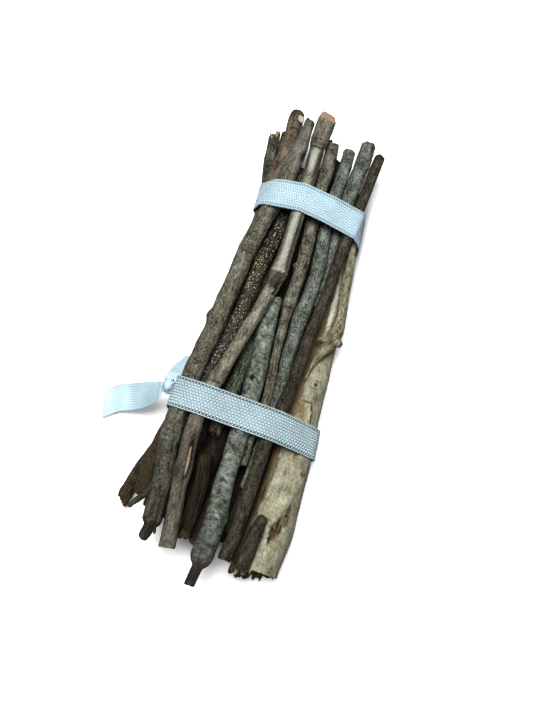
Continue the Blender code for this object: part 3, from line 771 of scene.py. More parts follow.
def tube_faces(rings: int, around: int) -> list[tuple[int, ...]]:
    """Faces of a tube that comes to a point at both ends.

    Args:
        rings: number of rings between the two points.
        around: number of points in each ring.

    Returns:
        The corner numbers, for points in the order of first end, rings and last end.
    """
    faces: list[tuple[int, ...]] = []
    last = 1 + (rings - 1) * around
    for i in range(around):
        j = (i + 1) % around
        faces.append((0, 1 + j, 1 + i))
        faces += [(s + i, s + j, s + around + j, s + around + i) for s in range(1, last, around)]
        faces.append((last + i, last + j, last + around))
    return faces


def put_on_root(piece: Piece, node: str) -> None:
    """Puts a finished piece on the root body and reports it.

    Args:
        piece: the piece.
        node: the CAD node that it replaces.
    """
    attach(piece, "root")
    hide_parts(node)
    LOG.info("%s: %d faces", piece.name, len(piece.data.polygons))


@dataclass
class Stick:
    """One stick: its node, bark, ends, marks and side stubs.

    Attributes:
        node: the CAD node that gives its line, thickness and cut ends.
        finish: its bark.
        seed: number of its random pattern.
        top: how its thin end was made.
        butt: how its thick end was made.
        around: number of points round it.
        step: distance between rings along it, in mm.
        lump: unevenness of its outline, as a share of its radius.
        marks: knots, scars and stains.
        stubs: rests of side branches.
        bridged: stretches of y where a side stub disturbs the CAD section, which are bridged over.
        margins: how far from the butt and the top the CAD sections are whole, in mm.
        slants: slope of the butt's and the top's cut, and the turn on which each is lowest.
    """

    node: str
    finish: BarkFinish
    seed: int
    top: EndKind = EndKind.CLIPPED
    butt: EndKind = EndKind.CLIPPED
    around: int = 40
    step: float = 0.7
    lump: float = 0.045
    marks: tuple[Mark, ...] = ()
    stubs: tuple[SideStub, ...] = ()
    bridged: tuple[tuple[float, float], ...] = ()
    margins: tuple[float, float] = (3.0, 3.0)
    slants: tuple[tuple[float, float], tuple[float, float]] = ((0.0, 90.0), (0.0, 90.0))
    line: dict[str, Array] = field(default_factory=dict, repr=False)

    # Counts, lengths in mm and shares that hold for every stick
    CAP_RINGS = 9
    END_ROWS = 6
    MOST_FIBRES = 96
    SMOOTHED = 7
    CUT_SPACING = 0.75
    LEAST_RADIUS = 0.35
    LEAST_END = 0.15
    RAY_START = 30.0
    END_INSET = (3.2, 0.12)
    STUB_POINTS = 20
    STUB_STEP = 0.5
    CAP_START = 0.965
    RAY_REACH = 0.9
    FINE_FIBRES = 0.35
    WORN_RIM = 0.05
    WAVE_LENGTHS = (9.0, 38.0)
    WAVE_SCALE = 2.2
    FALLOFF = 1.5
    PAINT_REACH = 1.3
    PAINT_EDGE = 1.8
    CUT_EDGE = 30.0

    def read_line(self, solid: Solid) -> None:
        """Reads the centre line and radius from the CAD node's sections.

        Args:
            solid: the stick's CAD node.
        """
        low, high = solid.points[:, 1].min(), solid.points[:, 1].max()
        cuts = np.arange(low + self.margins[0], high - self.margins[1], self.CUT_SPACING)
        rows = np.array([solid.section(y) for y in cuts])
        kept = np.ones(len(cuts), bool)
        for start, end in self.bridged:
            kept &= (cuts < start) | (cuts > end)
        cuts, rows = cuts[kept], rows[kept]
        count = max(8, round((high - low) / self.step))
        y = np.linspace(low + 0.2, high - 0.2, count)
        x, z, radius = (self.through(cuts, rows[:, i], y) for i in range(3))
        kernel = np.ones(self.SMOOTHED) / self.SMOOTHED
        x, z = (
            np.convolve(np.pad(v, self.SMOOTHED // 2, mode="reflect", reflect_type="odd"), kernel, "valid")
            for v in (x, z)
        )
        self.line = {"y": y, "x": x, "z": z, "r": np.maximum(radius, self.LEAST_RADIUS)}

    @staticmethod
    def through(cuts: Array, values: Array, y: Array) -> Array:
        """Reads values at y, carried on straight past both ends.

        Args:
            cuts: rising places where the values are known.
            values: the known values.
            y: places to read.

        Returns:
            The values at y.
        """
        found = np.interp(y, cuts, values)
        for at, side in ((0, y < cuts[0]), (-1, y > cuts[-1])):
            near = slice(0, 4) if at == 0 else slice(-4, None)
            slope = np.polyfit(cuts[near], values[near], 1)[0] if len(cuts) >= 4 else 0.0
            found[side] = values[at] + slope * (y[side] - cuts[at])
        return found

    def frames(self) -> tuple[Array, Array, Array, Array]:
        """The line's rings.

        Returns:
            Their centres, directions, and sideways and upward unit vectors.
        """
        centres = np.stack([self.line["x"], self.line["y"], self.line["z"]], axis=1)
        along = unit(np.gradient(centres, axis=0))
        side = unit(np.cross(along, (0.0, 0.0, 1.0)))
        return centres, along, side, np.cross(side, along)

    def waves(self, turn: Array, y: Array) -> Array:
        """Smooth unevenness from a few waves with fixed random phases.

        Args:
            turn: turns in radians.
            y: places along the stick, in mm.

        Returns:
            Heights between about -1 and 1.
        """
        random = np.random.default_rng(self.seed)
        total = np.zeros(np.broadcast(turn, y).shape)
        for lobes in (1, 2, 3, 1, 2):
            length = random.uniform(*self.WAVE_LENGTHS)
            phase = random.uniform(0.0, 2 * math.pi, 2)
            total += np.sin(lobes * turn + phase[0]) * np.sin(2 * math.pi * y / length + phase[1])
        return total / self.WAVE_SCALE

    def end_height(self, solid: Solid, centre: Vector, out: Vector, spoke: Vector) -> float | None:
        """How far the CAD node's end lies past a ring's centre, along the stick.

        Args:
            solid: the stick's CAD node.
            centre: the ring's centre.
            out: the outward direction of the end.
            spoke: the place in the section, from the centre.

        Returns:
            The distance in mm, or None where the ray misses the node.
        """
        hit = solid.first_hit(centre + spoke + out * self.RAY_START, -out)
        return None if hit is None else (hit - centre).dot(out)

    def end_rows(self, solid: Solid, top: bool, ring: dict[str, Any]) -> tuple[Array, Array]:
        """Makes the rows that carry one end from its last whole ring out to its cut face and centre.

        Args:
            solid: the stick's CAD node.
            top: whether it is the top end.
            ring: the last ring's centre, directions, turns and radii.

        Returns:
            Rows of points, and for each the share of the radius, from the side to the centre.
        """
        out = Vector(ring["along"]) * (1 if top else -1)
        centre = Vector(ring["centre"])
        kind = self.top if top else self.butt
        slope, lowest = self.slants[int(top)]
        random = np.random.default_rng(self.seed * 7 + int(top))
        cap = np.linspace(self.CAP_START, 0.0, self.CAP_RINGS)
        shares = np.concatenate([np.full(self.END_ROWS, 1.0), cap])
        rows = np.zeros((len(shares), self.around, 3))
        spokes = ring["spokes"]
        rim = np.zeros(self.around)
        previous = None
        radius = float(np.linalg.norm(spokes, axis=1).mean())
        turn = np.linspace(0, 2 * math.pi, self.around, endpoint=False)
        drop = slope * radius * (1 + np.cos(turn - math.radians(lowest)))
        middle = self.end_height(solid, centre, out, Vector((0, 0, 0))) or 1.0
        fibres = self.fibre_heights(random)
        for row, share in enumerate(shares[self.END_ROWS - 1 :], self.END_ROWS - 1):
            reach = min(share, self.RAY_REACH)
            heights = [self.end_height(solid, centre, out, Vector(spoke) * reach) for spoke in spokes]
            known = [h for h in heights if h is not None]
            usual = float(np.median(known)) if known else (previous.mean() if previous is not None else 0.5)
            found = np.array([usual if h is None or kind.dome else h for h in heights])
            if kind.dome:
                found[:] = middle
            found += kind.roughness * fibres * min(1.0, share / 0.3)
            fine = kind.roughness * self.FINE_FIBRES * random.standard_normal(self.around)
            found += fine * min(1.0, share * 2)
            found -= kind.dome * radius * (1 - math.sqrt(1 - min(share, 1.0) ** 2))
            found -= slope * radius + (drop - slope * radius) * share
            if share == 0.0:
                found[:] = found.mean()
            found = np.maximum(found, self.LEAST_END)
            if row == self.END_ROWS - 1:
                rim = found
            flat = spokes * share
            rows[row] = np.array(centre) + flat + np.outer(found, np.array(out))
            previous = found
        for row in range(self.END_ROWS - 1):
            part = (row + 1) / self.END_ROWS
            rows[row] = np.array(centre) + spokes + np.outer(rim * part, np.array(out))
        rows[self.END_ROWS - 1] -= spokes * self.WORN_RIM
        return rows, shares

    def fibre_heights(self, random: np.random.Generator) -> Array:
        """Uneven heights round an end, smooth over a few neighbours, as broken fibres have.

        Args:
            random: where the heights are drawn from.

        Returns:
            A height for each point round the stick.
        """
        count = min(self.around, self.MOST_FIBRES)
        raw = random.standard_normal(count)
        smooth = (raw + np.roll(raw, 1) + np.roll(raw, -1)) / 1.7
        places, known = np.arange(self.around) / self.around, np.arange(count + 1) / count
        return np.interp(places, known, [*smooth, smooth[0]])

    def build(self, relief: Tree) -> None:
        """Builds the stick with its relief and bark.

        Args:
            relief: the group that raises the bark.
        """
        solid = Solid(self.node)
        self.read_line(solid)
        centres, along, side, up = self.frames()
        low, high = solid.points[:, 1].min(), solid.points[:, 1].max()
        most, share = self.END_INSET
        plain = min(most, share * (high - low))
        inset = [plain + 3.0 * slope * self.line["r"][at] for at, (slope, _) in zip((0, -1), self.slants)]
        first = int(np.searchsorted(self.line["y"], low + inset[0]))
        last = int(np.searchsorted(self.line["y"], high - inset[1]))
        turn = np.linspace(0, 2 * math.pi, self.around, endpoint=False)
        spoke = np.cos(turn)[None, :, None] * side[:, None] + np.sin(turn)[None, :, None] * up[:, None]
        radius = self.line["r"][:, None] * (1 + self.lump * self.waves(turn[None], self.line["y"][:, None]))
        radius = self.shaped_radius(radius, turn)
        body = (centres[:, None] + spoke * radius[..., None])[first:last]
        ends = []
        for top, at in ((False, first), (True, last - 1)):
            ring = {"centre": centres[at], "along": along[at], "spokes": spoke[at] * radius[at][:, None]}
            ends.append(self.end_rows(solid, top, ring))
        rows = np.concatenate([ends[0][0][::-1], body, ends[1][0]])
        shares = np.concatenate([ends[0][1][::-1], np.ones(len(body)), ends[1][1]])
        points = np.concatenate([rows[0][:1], rows[1:-1].reshape(-1, 3), rows[-1][:1]])
        piece = new_piece(f"{self.node}_bark", points, tube_faces(len(rows) - 2, self.around))
        self.store_places(piece, points, shares, centres, side, up)
        for stub in self.stubs:
            self.join_stub(piece, stub)
        face_outwards(piece)
        finish = self.finish
        use_nodes(
            piece,
            relief,
            {
                "Ridge Width": finish.ridge_width,
                "Ridge Length": finish.ridge_length,
                "Ridge Depth": finish.ridge_depth * MM,
                "Wrinkle Depth": finish.wrinkle_depth * MM,
                "Seed": float(self.seed),
                "Material": finish.material(),
            },
        )
        put_on_root(piece, self.node)

    def shaped_radius(self, radius: Array, turn: Array) -> Array:
        """The radius with the outward and inward shapes of the marks.

        Args:
            radius: radius of each ring at each turn, in mm.
            turn: the turns, in radians.

        Returns:
            The changed radius.
        """
        y = self.line["y"][:, None]
        for mark in self.marks:
            if mark.out:
                away = self.distance(mark, y, turn[None], radius)
                radius = radius + mark.out * np.exp(-self.FALLOFF * away**mark.edge)
        return radius

    def distance(self, mark: Mark, y: Array, turn: Array, radius: Array) -> Array:
        """How far places lie from a mark's middle, 1 at its uneven edge.

        Args:
            mark: the mark.
            y: places along the stick, in mm.
            turn: places round it, in radians.
            radius: its radius there, in mm.

        Returns:
            The distances.
        """
        round_it = np.angle(np.exp(1j * (turn - math.radians(mark.turn)))) * radius
        uneven = 0.16 * np.sin(2.3 * y + 3.1 * round_it + self.seed) + 0.1 * np.sin(5.1 * y - 2.7 * round_it)
        share = 0.3 if mark.kind is MarkKind.SCAR else 1.0
        return np.hypot((y - mark.y) / mark.length, round_it / mark.width) * (1 + share * uneven)

    def store_places(
        self,
        piece: Piece,
        points: Array,
        shares: Array,
        centres: Array,
        side: Array,
        up: Array,
    ) -> None:
        """Stores each point's place on the straightened stick, and paints the marks and cut faces.

        Args:
            piece: the stick's object.
            points: its points, in mm.
            shares: each row's share of the radius.
            centres: centres of the line's rings.
            side: sideways directions of the rings.
            up: upward directions of the rings.
        """
        share = np.concatenate([[0.0], np.repeat(shares[1:-1], self.around), [0.0]])
        at = np.clip(np.searchsorted(self.line["y"], points[:, 1]), 0, len(centres) - 1)
        from_middle = points - centres[at]
        across = (from_middle * side[at]).sum(1)
        above = (from_middle * up[at]).sum(1)
        store(piece, "bark", np.stack([across, above, points[:, 1]], axis=1))
        bare = np.where(points[:, 1] > self.line["y"].mean(), self.top.bare, self.butt.bare)
        store(piece, "cut", np.clip((1.0 - share) * self.CUT_EDGE, 0.0, 1.0) * bare)
        turn = np.arctan2(above, across)
        radius = np.hypot(across, above)
        paint = {name: np.zeros(len(points)) for name in PAINTED}
        for mark in self.marks:
            if mark.kind is MarkKind.SWELL:
                continue
            away = self.distance(mark, points[:, 1], turn, radius)
            inside = np.clip((self.PAINT_REACH - away) * self.PAINT_EDGE, 0.0, 1.0) * mark.strength
            name = mark.kind.value
            paint[name] = np.maximum(paint[name], inside)
        self.paint_more(points, turn, paint)
        paint["dark"] *= 1 - np.clip(1.6 * paint["wood"] - 0.6, 0, 1)
        for name in PAINTED:
            store(piece, name, paint[name])

    def paint_more(self, points: Array, turn: Array, paint: dict[str, Array]) -> None:
        """Paints what only some sticks have; a plain stick has nothing more."""

    def join_stub(self, piece: Piece, stub: SideStub) -> None:
        """Joins the rest of a side branch, whose foot lies inside the stick.

        Args:
            piece: the stick's object.
            stub: the stub.
        """
        centres, along, side, up = self.frames()
        at = int(np.argmin(np.abs(self.line["y"] - stub.y)))
        turn, lean = math.radians(stub.turn), math.radians(stub.lean)
        out = side[at] * math.cos(turn) + up[at] * math.sin(turn)
        way = out * math.cos(lean) + along[at] * math.sin(lean)
        base = float(self.line["r"][at])
        length = base + stub.length
        across = np.cross(way, along[at])
        across /= np.linalg.norm(across)
        third = np.cross(way, across)
        count, rings = self.STUB_POINTS, max(8, round(length / self.STUB_STEP))
        random = np.random.default_rng(self.seed * 3 + round(stub.turn))
        spin = np.linspace(0, 2 * math.pi, count, endpoint=False)
        circle = np.cos(spin)[:, None] * across + np.sin(spin)[:, None] * third
        rows, bark, cut = [], [], []
        for t in np.linspace(0.25, 1.0, rings):
            collar = 1.0 + 0.5 * math.exp(-(((t * length - base) / (0.9 * stub.radius)) ** 2))
            taper = collar * (1 + (stub.tip - 1) * t)
            rows.append(centres[at] + way * length * t + circle * stub.radius * taper)
            out_there = np.full(count, stub.y + length * t)
            bark.append(np.stack([np.cos(spin) * stub.radius, np.sin(spin) * stub.radius, out_there], 1))
            cut.append(np.zeros(count))
        edge = rows[-1] - centres[at] - way * length
        for share in (0.86, 0.5, 0.0):
            rows.append(centres[at] + way * (length + 0.12 * random.standard_normal()) + edge * share)
            centre = np.tile((0.0, 0.0, stub.y + length), (count, 1))
            bark.append(bark[-1] * (share, share, 1.0) if share else centre)
            cut.append(np.full(count, stub.bare))
        points = np.concatenate([[centres[at] + way * length * 0.2], *rows[:-1], rows[-1][:1]])
        more_bark = np.concatenate([[(0.0, 0.0, stub.y)], *bark[:-1], bark[-1][:1]])
        more_cut = np.concatenate([[0.0], *cut[:-1], [stub.bare]])
        extra = new_piece(f"{self.node}_stub", points, tube_faces(len(rows) - 1, count))
        store(extra, "bark", more_bark)
        store(extra, "cut", more_cut)
        for name in PAINTED:
            store(extra, name, np.full(len(points), stub.shade if name == "dark" else 0.0))
        face_outwards(extra)
        with bpy.context.temp_override(active_object=piece, selected_editable_objects=[piece, extra]):
            bpy.ops.object.join()


@dataclass
class PaleLog(Stick):
    """The pale log, with a strip of bare ochre wood where its bark has come away.

    Attributes:
        strip_edge: y and turn of the bark's edge along the strip, which lies at larger turns.
        strip_depth: how far the bare wood lies below the bark, in mm.
    """

    strip_edge: tuple[tuple[float, float], ...] = (
        (-100, 146),
        (-81, 141),
        (-68, 130),
        (-55, 122),
        (-42, 122),
        (-24, 104),
        (-6, 104),
        (8, 97),
        (14, 93),
        (34, 90),
        (60, 96),
    )
    strip_depth: float = 0.55
    STRIP_END = 215.0

    def strip(self, y: Array, turn: Array) -> Array:
        """Whether places are on the bare strip, from 0 to 1.

        Args:
            y: places along the log, in mm.
            turn: places round it, in radians.

        Returns:
            1 on bare wood and 0 on bark.
        """
        places = np.array(self.strip_edge)
        edge = np.interp(y, places[:, 0], places[:, 1])
        edge = edge + 1.8 * np.sin(y * 0.83) + 1.2 * np.sin(y * 2.1 + 1.0) + 0.8 * np.sin(y * 4.7)
        degrees = np.degrees(turn) % 360
        return np.clip((degrees - edge) / 4.0, 0, 1) * np.clip((self.STRIP_END - degrees) / 6.0, 0, 1)

    def shaped_radius(self, radius: Array, turn: Array) -> Array:
        """The radius with the marks and the sunken strip."""
        radius = super().shaped_radius(radius, turn)
        return radius - self.strip_depth * self.strip(self.line["y"][:, None], turn[None])

    def paint_more(self, points: Array, turn: Array, paint: dict[str, Array]) -> None:
        """Paints the bare strip as warm ochre wood."""
        paint["warm"] = np.maximum(paint["warm"], 0.92 * self.strip(points[:, 1], turn))


def knit_group() -> Tree:
    """Builds the stitches of knitted elastic: one small loop on each face of a net of cells.

    Returns:
        The group. Each face's attributes give its stitch's directions and half sizes, in metres.
    """
    group, given = group_with_inputs(
        "knitted_stitches",
        (("Plumpness", "NodeSocketFloat", 1.0), ("Material", "NodeSocketMaterial", None)),
    )
    read, vector = "GeometryNodeInputNamedAttribute", {"data_type": "FLOAT_VECTOR"}
    names = ("face_out", "face_along", "face_size")
    out, along, half = (add_node(group, read, {"Name": name}, vector).outputs[0] for name in names)
    centres = add_node(
        group, "GeometryNodeMeshToPoints", {"Mesh": given.outputs["Geometry"]}, {"mode": "FACES"}
    ).outputs["Points"]
    turned = add_node(
        group,
        "FunctionNodeAxesToRotation",
        {"Primary Axis": out, "Secondary Axis": along},
        {"primary_axis": "Z", "secondary_axis": "X"},
    ).outputs[0]
    ball = {"Segments": 8, "Rings": 4, "Radius": 1.0}
    loop = add_node(group, "GeometryNodeMeshUVSphere", ball).outputs["Mesh"]
    smooth = add_node(group, "GeometryNodeSetShadeSmooth", {"Geometry": loop}).outputs["Geometry"]
    size = add_node(
        group, "ShaderNodeVectorMath", {0: half, "Scale": given.outputs["Plumpness"]}, {"operation": "SCALE"}
    ).outputs[0]
    placed = add_node(
        group,
        "GeometryNodeInstanceOnPoints",
        {"Points": centres, "Instance": smooth, "Rotation": turned, "Scale": size},
    )
    finish_group(group, placed.outputs["Instances"], given.outputs["Material"])
    return group


@dataclass(frozen=True)
class ElasticFinish(MattFinish):
    """White knitted polyester over rubber: matt, slightly bluish yarn and darker gaps.

    Attributes:
        name: the material's name.
        yarn: colour of the loops.
        shade: colour of the yarn in its hollows.
        gap: colour of what shows between the loops, painted shade where the attribute "gap" says.
        roughness: roughness of the yarn.
    """

    name: str
    yarn: str
    shade: str
    gap: str
    roughness: float = 0.88
    SPECULAR = 0.25
    BUMP_STRENGTH = 0.35
    BUMP_DEPTH = 0.15
    FUZZ_SIZE = 0.4
    PATCH_SIZE = 9.0

    def surface(self, tree: Tree) -> tuple[Socket, Socket]:
        """Adds the yarn's fuzz, soft patches and the gaps between the loops.

        Args:
            tree: the material's tree.

        Returns:
            The colour's socket and the height's.
        """
        ramp, mix = "ShaderNodeValToRGB", "ShaderNodeMix"
        place = add_node(tree, "ShaderNodeTexCoord").outputs["Object"]
        # Yarn is about 0.25 mm thick, so its fuzz is drawn at 0.4 mm to show at all.
        sizes = ((1 / (self.FUZZ_SIZE * MM), 3.0), (1 / (self.PATCH_SIZE * MM), 2.0))
        fuzz, broad = (
            add_node(tree, "ShaderNodeTexNoise", {"Scale": scale, "Detail": detail, "Vector": place})
            for scale, detail in sizes
        )
        height = fuzz.outputs["Fac"]
        colour = add_node(tree, ramp, {0: height}, stops=((0.3, self.shade), (0.6, self.yarn))).outputs[0]
        patches = add_node(tree, ramp, {0: broad.outputs["Fac"]}, stops=((0.35, 0.9), (0.65, 1.0))).outputs[0]
        colour = add_node(tree, mix, {0: 1.0, 6: colour, 7: patches}, MULTIPLY).outputs[2]
        # Between the loops the colour turns to the painted shade of the gaps.
        gap = add_node(tree, "ShaderNodeAttribute", settings={"attribute_name": "gap"}).outputs["Fac"]
        return add_node(tree, mix, {0: gap, 6: colour, 7: self.gap}, BLEND).outputs[2], height


# Copies of one white elastic, with light and shade painted into their colours: lit on the upper band, the
# slack tail and the knot, shaded on the lower band and the tucked tail.
UPPER_ELASTIC = ElasticFinish("white_elastic_in_light", "#cde0e8", "#b9cdd7", "#6f8088")
LOWER_ELASTIC = ElasticFinish("white_elastic_in_shade", "#c8d8dd", "#a9bbc1", "#2b3234")
LIT_LOOSE_ELASTIC = ElasticFinish("white_elastic_slack_in_full_light", "#dbf1f8", "#cbe4ee", "#7f97a3")
SHADED_TUCKED_ELASTIC = ElasticFinish("white_elastic_tucked_in_shade", "#cce1e9", "#b7cfd9", "#6c838f")


@dataclass
class ElasticStrip:
    """A strip of the elastic as stations along it, each with its middle, its half width and its normal.

    Attributes:
        name: the piece's name.
        finish: its colours.
        wales: number of stitch columns across it.
        thick: thickness of its cloth, in mm.
        rib: height of its ribs over the cloth, in mm.
    """

    name: str
    finish: ElasticFinish
    wales: int = 11
    thick: float = 0.6
    rib: float = 0.1
    PER_WALE = 4
    DIAGONAL_FROM = 0.82

    def net(self, middles: Array, across: Array, out: Array, closed: bool, diagonal: float = 0.0) -> Piece:
        """Builds the strip's closed cloth.

        Args:
            middles: middle of the strip's outer face at each station, in mm.
            across: half the strip's width at each station, as vectors.
            out: outward unit vectors.
            closed: whether the strip is a ring.
            diagonal: how strongly its ribs slant at the far end.

        Returns:
            The object.
        """
        places = np.linspace(-1, 1, self.wales * self.PER_WALE + 1)
        wave = np.abs(np.cos(np.pi * self.wales * (places + 1) / 2))
        count = len(middles)
        rows = []
        for station in range(count):
            t = station / (count - 1)
            slant = np.abs(np.cos(np.pi * (self.wales * (places + 1) / 2 + station * 0.33)))
            share = diagonal * max(0.0, (t - self.DIAGONAL_FROM) / (1 - self.DIAGONAL_FROM))
            height = self.rib * ((1 - share) * wave + share * slant)
            edge = np.clip((1 - np.abs(places)) * 6, 0, 1) ** 0.5
            outer = middles[station] + np.outer(places, across[station]) + np.outer(
                (height - self.rib) * edge - self.thick / 2 * (1 - edge), out[station]
            )
            inner = middles[station] + np.outer(places[::-1], across[station]) - np.outer(
                (self.thick - (1 - edge[::-1]) * self.thick / 2), out[station]
            )
            rows.append(np.concatenate([outer, inner[1:-1]]))
        ring = len(rows[0])
        points = np.concatenate(rows)
        faces = []
        for station in range(count if closed else count - 1):
            start = station * ring
            after = ((station + 1) % count) * ring
            for i in range(ring):
                j = (i + 1) % ring
                faces.append((start + i, start + j, after + j, after + i))
        if not closed:
            faces.append(tuple(range(ring))[::-1])
            faces.append(tuple((count - 1) * ring + i for i in range(ring)))
        piece = new_piece(f"{self.name}_cloth", points, faces)
        face_outwards(piece)
        piece.data.materials.append(self.finish.material())
        return piece

    def shade_ribs(self, piece: Piece, stations: int, strength: float) -> None:
        """Darkens the hollows between the ribs of a strip.

        Args:
            piece: the strip's cloth.
            stations: number of stations along it.
            strength: how dark the hollows are, from 0 to 1.
        """
        places = np.linspace(0, 1, self.wales * self.PER_WALE + 1)
        ribs = np.abs(np.cos(np.pi * self.wales * places))
        row = np.concatenate([strength * (1 - ribs), np.zeros(self.wales * self.PER_WALE - 1)])
        patches = 0.75 + 0.25 * np.sin(np.arange(stations) * 0.31)
        # The hollows get painted shade through the gap attribute.
        store(piece, "gap", np.outer(patches, row).ravel())


@dataclass
class ElasticBand(ElasticStrip):
    """A band stretched round the sticks: its cloth, and the stitches that stand on it.

    Attributes:
        node: the CAD node that gives its outline.
        course: length of one stitch round the band, in mm.
        sunk: how far the cloth lies under the CAD node's outside, in mm.
        slant: how far the stitches lean from the band's length, in degrees.
    """

    node: str = "upper_band"
    course: float = 1.25
    sunk: float = 0.3
    slant: float = 9.0
    # Lengths are in mm; the gap shades are those of the plain gaps and of the holes.
    ANGLES = 720
    SELVEDGE = 0.65
    HOLES = 0.65
    EDGE_MARGIN = 0.15
    RAY_START = 120
    GAP_SHADE = (0.42, 0.58)
    UNEVEN = (0.94, 1.05)

    def outline(self, solid: Solid, y: float, middle: Vector) -> Array:
        """The outside of the CAD ring at y, from rays towards its middle.

        Args:
            solid: the band's CAD node.
            y: the place along the sticks, in mm.
            middle: a point inside the ring.

        Returns:
            Points in mm, one for each angle.
        """
        found = []
        for i in range(self.ANGLES):
            angle = 2 * math.pi * i / self.ANGLES - math.pi / 2
            way = Vector((math.cos(angle), 0.0, math.sin(angle)))
            start = Vector((middle.x, y, middle.z)) + way * self.RAY_START
            found.append(solid.first_hit(start, -way))
        return np.array([tuple(point) for point in found])

    def build(self, stitches: Tree) -> None:
        """Builds the band's cloth and its stitches.

        Args:
            stitches: the group that sets a loop on each cell.
        """
        solid = Solid(self.node)
        low, high = solid.points.min(0), solid.points.max(0)
        middle = Vector((low + high) / 2)
        levels = np.linspace(low[1] + self.EDGE_MARGIN, high[1] - self.EDGE_MARGIN, 3)
        rings = [self.outline(solid, y, middle) for y in levels]
        steps = np.linalg.norm(np.roll(rings[1], -1, axis=0) - rings[1], axis=1)
        length = np.concatenate([[0.0], np.cumsum(steps)])
        total = length[-1]
        courses = 2 * round(total / self.course / 2)

        def ring_at(count: int, shift: float) -> list[Array]:
            """Reads the three rings at evenly spaced places round the middle one.

            Args:
                count: number of places.
                shift: how far they are moved on, in places.

            Returns:
                The three rings' points.
            """
            wanted = (np.arange(count) + shift) * total / count
            angles = np.interp(wanted, length, np.arange(self.ANGLES + 1))
            index = np.floor(angles).astype(int)
            part = (angles - index)[:, None]
            near, after = index % self.ANGLES, (index + 1) % self.ANGLES
            return [ring[near] * (1 - part) + ring[after] * part for ring in rings]

        fine = ring_at(courses * 2, 0.0)
        middles, across, out = self.rows_of(fine)
        cloth = self.net(middles - out * self.sunk, across, out, closed=True)
        width = 2 * float(np.linalg.norm(across, axis=1).mean())
        self.shade_gaps(cloth, len(middles), width)
        cells = self.cells(ring_at, courses, width)
        use_nodes(cells, stitches, {"Plumpness": 1.0, "Material": self.finish.material()})
        # The bundle's weight presses the stitches under it flat on the floor.
        for vertex in cells.data.vertices:
            vertex.co.z = max(vertex.co.z, 0.0)
        put_on_root(cloth, self.node)
        put_on_root(cells, self.node)

    def rows_of(self, rings: list[Array]) -> tuple[Array, Array, Array]:
        """Middles, half widths and normals of stations round the band.

        Args:
            rings: the low, middle and high ring.

        Returns:
            The three arrays.
        """
        across = (rings[2] - rings[0]) / 2
        along = np.roll(rings[1], -1, axis=0) - np.roll(rings[1], 1, axis=0)
        out = unit(np.cross(across, along))
        if ((rings[1] - rings[1].mean(0)) * out).sum() < 0:
            out = -out
        kernel = np.array([1, 2, 3, 2, 1]) / 9
        out = sum(weight * np.roll(out, shift, axis=0) for weight, shift in zip(kernel, range(-2, 3)))
        return rings[1], across, unit(out)

    def columns(self, width: float) -> list[tuple[float, float, float]]:
        """Where the columns of stitches lie: a selvedge and a row of holes at each edge, plain ones between.

        Args:
            width: the band's width, in mm.

        Returns:
            For each column its place from -1 to 1 across the band, its width in mm and the share of
            each course that its stitch fills.
        """
        rim = self.SELVEDGE + self.HOLES
        plain = (width - 2 * rim) / (self.wales - 2)
        made = [(self.SELVEDGE / 2, self.SELVEDGE, 1.3), (self.SELVEDGE + self.HOLES / 2, self.HOLES, 0.62)]
        made += [(rim + (i + 0.5) * plain, plain * 0.95, 1.02) for i in range(self.wales - 2)]
        made += [(width - place, size, fill) for place, size, fill in reversed(made[:2])]
        return [(2 * place / width - 1, size, fill) for place, size, fill in made]

    def shade_gaps(self, cloth: Piece, stations: int, width: float) -> None:
        """Darkens the cloth that shows between the stitches, most along the two rows of holes.

        Args:
            cloth: the band's cloth.
            stations: number of stations round it.
            width: the band's width, in mm.
        """
        ring = len(cloth.data.vertices) // stations
        outer = self.wales * self.PER_WALE + 1
        from_edge = (1 - np.abs(np.linspace(-1, 1, outer))) * width / 2
        holes = np.exp(-(((from_edge - self.SELVEDGE - self.HOLES / 2) / (0.6 * self.HOLES)) ** 2))
        plain, deep = self.GAP_SHADE
        row = np.concatenate([plain * (from_edge > 0.3) + deep * holes, np.full(ring - outer, 0.2)])
        # The gaps and the holes get painted shade through the gap attribute.
        store(cloth, "gap", np.tile(np.clip(row, 0, 1), stations))

    def cells(self, ring_at: Any, courses: int, width: float) -> Piece:
        """Builds one small face for each stitch, in brick order, with its directions and size.

        Args:
            ring_at: reads the three rings at a number of places and a shift.
            courses: number of stitches round the band.
            width: the band's width, in mm.

        Returns:
            The net of faces.
        """
        points, faces, outs, alongs, sizes = [], [], [], [], []
        random = np.random.default_rng(11)
        for column, (place, size, fill) in enumerate(self.columns(width)):
            middles, across, out = self.rows_of(ring_at(courses, 0.5 * (column % 2)))
            along = unit(np.roll(middles, -1, axis=0) - np.roll(middles, 1, axis=0))
            rim = size < self.SELVEDGE + 0.01
            slant = 0.0 if rim else math.radians(self.slant if column % 2 else -self.slant)
            for i in range(len(middles)):
                centre = middles[i] + across[i] * place - out[i] * self.sunk
                side = across[i] / np.linalg.norm(across[i])
                start = len(points)
                for a, b in ((-1, -1), (1, -1), (1, 1), (-1, 1)):
                    points.append(centre + along[i] * a * 0.1 + side * b * 0.1)
                faces.append((start, start + 1, start + 2, start + 3))
                outs.append(out[i])
                alongs.append(along[i] * math.cos(slant) + side * math.sin(slant))
                long = self.course / 2 * fill * random.uniform(*self.UNEVEN)
                sizes.append((long, size * 0.48, self.sunk * 1.15))
        piece = new_piece(f"{self.node}_stitches", np.array(points), faces)
        store(piece, "face_out", np.array(outs), "FACE")
        store(piece, "face_along", np.array(alongs), "FACE")
        store(piece, "face_size", np.array(sizes) * MM, "FACE")
        return piece


